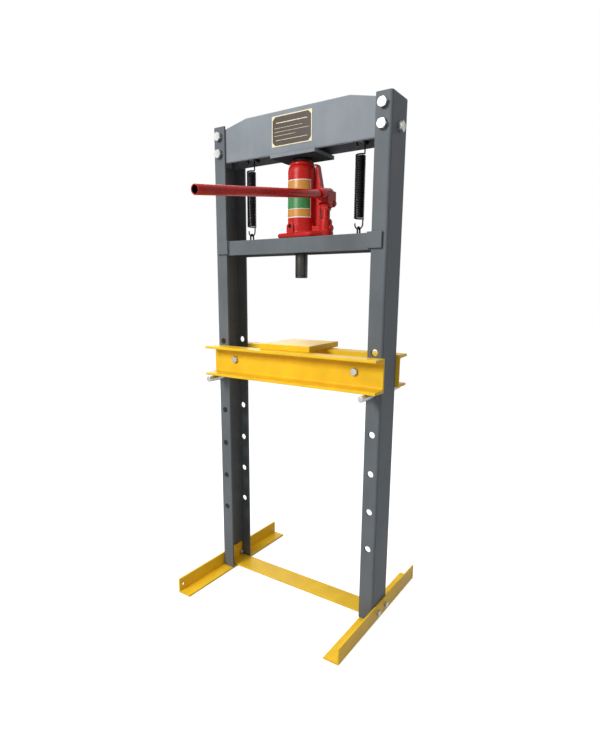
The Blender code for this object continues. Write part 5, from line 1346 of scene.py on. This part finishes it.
        # Painted shade: the near-black skin darkens the inside of the tube beyond what its bare steel would show
        skin = bore - 0.03 * MM
        core = skin - 0.3 * MM
        near, far = 3 * MM, length - 0.7 * MM
        inside = [(core, near), (skin, near), (skin, far), (core, far)]
        piece("handle_bore_shade", [turned(inside, start, along, 64, True)], "black_steel", "jack_handle")

    def handle_line(self):
        """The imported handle's inner end, its direction, its length and its radius, from its box."""
        low, high = span("jack_handle")
        radius = (high[0] - low[0]) / 2
        tilt = math.atan2(high[2] - low[2] - 2 * radius, high[1] - low[1])
        tilt = self.tilt_of_axis(low, high, radius, tilt)
        x = (low[0] + high[0]) / 2
        along = np.array([0, -math.cos(tilt), -math.sin(tilt)])
        start = np.array([x, high[1] - radius * math.sin(tilt), high[2] - radius * math.cos(tilt)])
        end = np.array([x, low[1] + radius * math.sin(tilt), low[2] + radius * math.cos(tilt)])
        return start, along, np.linalg.norm(end - start), radius

    def tilt_of_axis(self, low, high, radius, tilt):
        """The tube's tilt t, from its box: (height - 2 r cos t) / (depth - 2 r sin t) = tan t."""
        for _ in range(20):
            rise = high[2] - low[2] - 2 * radius * math.cos(tilt)
            run = high[1] - low[1] - 2 * radius * math.sin(tilt)
            tilt = math.atan2(rise, run)
        return tilt

    def label(self, scene):
        """A patch of a cylinder a hair outside the tank, with its own map: u round it, v up it."""
        sizes = scene.press_sizes
        colours = scene.press_colours
        white = (0.86, 0.84, 0.80, 1.0)
        columns, rows = 97, 25
        orange = tuple(colours.label_orange)
        green = tuple(colours.label_green)
        stops = [(0.0, white), (0.022, orange), (0.225, white), (0.235, green), (0.60, white), (0.61, orange),
                 (0.978, white)]
        FINISHES["label_print"] = band_finish("label_print", stops, 0.26)
        radius = TANK_RADIUS + 0.18 * MM
        u = np.linspace(0, 1, columns)
        v = np.linspace(0, 1, rows)
        angle = (sizes.label_turn - sizes.label_wrap * (1 - u))[None, :]
        height = (JACK_FLOOR + sizes.label_low + sizes.label_height * v)[:, None]
        flat = np.ones((rows, columns))
        grid = np.stack([PRESS_AXIS[0] + radius * np.cos(angle) * flat,
                         PRESS_AXIS[1] + radius * np.sin(angle) * flat, height * flat], axis=-1)
        inner = grid.copy()
        inner[..., :2] = PRESS_AXIS + (grid[..., :2] - PRESS_AXIS) * (1 - 0.16 * MM / radius)
        made = self.sheet_piece("jack_label", grid, inner, "label_print", "red_paint")
        chart = made.data.uv_layers.new(name="map")
        loops = np.zeros(len(made.data.loops), np.int32)
        made.data.loops.foreach_get("vertex_index", loops)
        spots = np.stack(np.meshgrid(u, v), axis=-1).reshape(-1, 2)
        chart.data.foreach_set("uv", np.vstack([spots, spots])[loops].ravel().astype(np.float32))

    def sheet_piece(self, name, grid, inner, finish, slot):
        """A thin closed sheet: a front grid, a back grid and strips that join their rims."""
        rows, columns = grid.shape[:2]
        count = rows * columns
        front = grid_faces(rows, columns, False, False)
        back = front[:, ::-1] + count
        index = np.arange(count).reshape(rows, columns)
        rim = np.concatenate([index[0, :-1], index[:-1, -1], index[-1, :0:-1], index[:0:-1, 0]])
        after = np.roll(rim, -1)
        strip = np.stack([after, rim, rim + count, after + count], axis=1)
        points = np.vstack([grid.reshape(-1, 3), inner.reshape(-1, 3)])
        faces = np.vstack([front, back, strip]).tolist()
        return piece(name, [(points, faces)], finish, "crosshead")


class PRESS_OT_stage(DressingOperator, bpy.types.Operator):
    """Sets the floor, the lamps, the surrounding light and the camera"""

    bl_idname = "press.stage"
    bl_label = "Stage"

    def execute(self, context):
        self.floor()
        self.surroundings(context.scene)
        self.lamps(context.scene.press_light)
        self.camera(context.scene)
        context.scene.view_settings.view_transform = "Standard"
        return {"FINISHED"}

    def floor(self):
        """A wide pale plane just under the feet, which the eye and reflections see nearly white."""
        half = 9.0
        level = -0.4 * MM
        glow_strength = 0.84
        points = [(-half, -half, level), (half, -half, level), (-half, half, level), (half, half, level)]
        made, steps, shader = new_finish("floor_white")
        where = steps.add("ShaderNodeTexCoord").outputs["Object"]
        tone = steps.spread(steps.noise(where, 3.0, 3.0, 0.5), 0.3, 0.7)
        pale = steps.mix(tone, (0.46, 0.46, 0.46, 1.0), (0.50, 0.50, 0.50, 1.0))
        steps.feed(shader.inputs["Base Color"], pale)
        shader.inputs["Roughness"].default_value = 0.9
        seen = steps.add("ShaderNodeLightPath").outputs
        mirrored = steps.maths("MAXIMUM", seen["Is Glossy Ray"], seen["Is Transmission Ray"])
        glow = steps.maths("MAXIMUM", seen["Is Camera Ray"], mirrored)
        shader.inputs["Emission Color"].default_value = (1.0, 1.0, 1.0, 1.0)
        steps.feed(shader.inputs["Emission Strength"], steps.maths("MULTIPLY", glow, glow_strength))
        mesh = bpy.data.meshes.new("floor")
        mesh.from_pydata(points, [], [(0, 1, 3, 2)])
        floor = bpy.data.objects.new("floor", mesh)
        bpy.context.scene.collection.objects.link(floor)
        mesh.materials.append(made)

    def surroundings(self, scene):
        """White for the eye and for reflections, and a softer even light on the object."""
        world = bpy.data.worlds.new("studio")
        scene.world = world
        world.use_nodes = True
        steps = Steps(world.node_tree)
        back = world.node_tree.nodes["Background"]
        back.inputs["Color"].default_value = (1.0, 1.0, 1.0, 1.0)
        seen = steps.add("ShaderNodeLightPath").outputs
        mirrored = steps.maths("MAXIMUM", seen["Is Glossy Ray"], seen["Is Transmission Ray"])
        direct = steps.maths("MAXIMUM", seen["Is Camera Ray"], mirrored)
        steps.feed(back.inputs["Strength"], steps.spread(direct, 0.0, 1.0, scene.press_light.ambient, 1.0))

    def lamps(self, light):
        """A large lamp in front and a little to the left, a weaker one behind and one overhead."""
        self.area("key", (-0.8, -2.8, 2.2), (0.0, 0.1, 0.70), 1.1, light.key_power)
        self.area("overhead", (0.1, -0.3, 4.0), (0.05, 0.0, 0.0), 1.2, light.top_power)
        self.area("fill", (-2.0, 1.9, 2.0), (0.0, 0.1, 0.60), 1.6, light.fill_power)

    def area(self, name, place, target, size, power):
        lamp = bpy.data.lights.new(name, "AREA")
        lamp.size = size
        lamp.energy = power
        made = bpy.data.objects.new(name, lamp)
        made.location = place
        made.rotation_mode = "QUATERNION"
        made.rotation_quaternion = (Vector(target) - Vector(place)).to_track_quat("-Z", "Y")
        bpy.context.scene.collection.objects.link(made)

    def camera(self, scene):
        """The photograph's eye: its place, turn, tilt and roll, and the picture's middle as a shift."""
        turn, tilt, roll = 0.5904, 0.2033, 0.0073
        place = Vector((0.7585, PRESS_AXIS[1] - 1.1344, 0.8432))
        level = math.cos(tilt)
        ahead = Vector((-math.sin(turn) * level, math.cos(turn) * level, -math.sin(tilt)))
        right = Vector((math.cos(turn), math.sin(turn), 0))
        up = right.cross(ahead)
        rolled_right = math.cos(roll) * right + math.sin(roll) * up
        rolled_up = math.cos(roll) * up - math.sin(roll) * right
        facing = Matrix((rolled_right, rolled_up, -ahead)).transposed().to_4x4()
        lens = bpy.data.cameras.new("eye")
        tall = 750.0
        lens.sensor_width = 36.0
        lens.lens = lens.sensor_width * 514.10 / tall
        lens.shift_y = 22.085 / tall
        lens.clip_start = 0.05
        eye = bpy.data.objects.new("eye", lens)
        eye.matrix_world = Matrix.Translation(place) @ facing
        scene.collection.objects.link(eye)
        scene.camera = eye


OPERATORS = (PRESS_OT_finishes, PRESS_OT_stage, PRESS_OT_springs, PRESS_OT_fasteners, PRESS_OT_crosshead,
             PRESS_OT_beam, PRESS_OT_bed, PRESS_OT_base, PRESS_OT_jack)


class PRESS_PT_panel(bpy.types.Panel):
    bl_idname = "PRESS_PT_panel"
    bl_label = "Shop press"
    bl_space_type = "VIEW_3D"
    bl_region_type = "UI"
    bl_category = "Press"

    def draw(self, context):
        for group in ("press_colours", "press_sizes", "press_light"):
            settings = getattr(context.scene, group)
            for name in settings.__annotations__:
                self.layout.prop(settings, name)
        for operator in OPERATORS:
            self.layout.operator(operator.bl_idname)


CLASSES = (PressColours, PressSizes, PressLight) + OPERATORS + (PRESS_PT_panel,)


def register():
    for cls in CLASSES:
        bpy.utils.register_class(cls)
    bpy.types.Scene.press_colours = bpy.props.PointerProperty(type=PressColours)
    bpy.types.Scene.press_sizes = bpy.props.PointerProperty(type=PressSizes)
    bpy.types.Scene.press_light = bpy.props.PointerProperty(type=PressLight)


def unregister():
    del bpy.types.Scene.press_light
    del bpy.types.Scene.press_sizes
    del bpy.types.Scene.press_colours
    for cls in reversed(CLASSES):
        bpy.utils.unregister_class(cls)


def main():
    register()
    for operator in OPERATORS:
        group, name = operator.bl_idname.split(".")
        getattr(getattr(bpy.ops, group), name)()


if __name__ == "__main__":
    main()
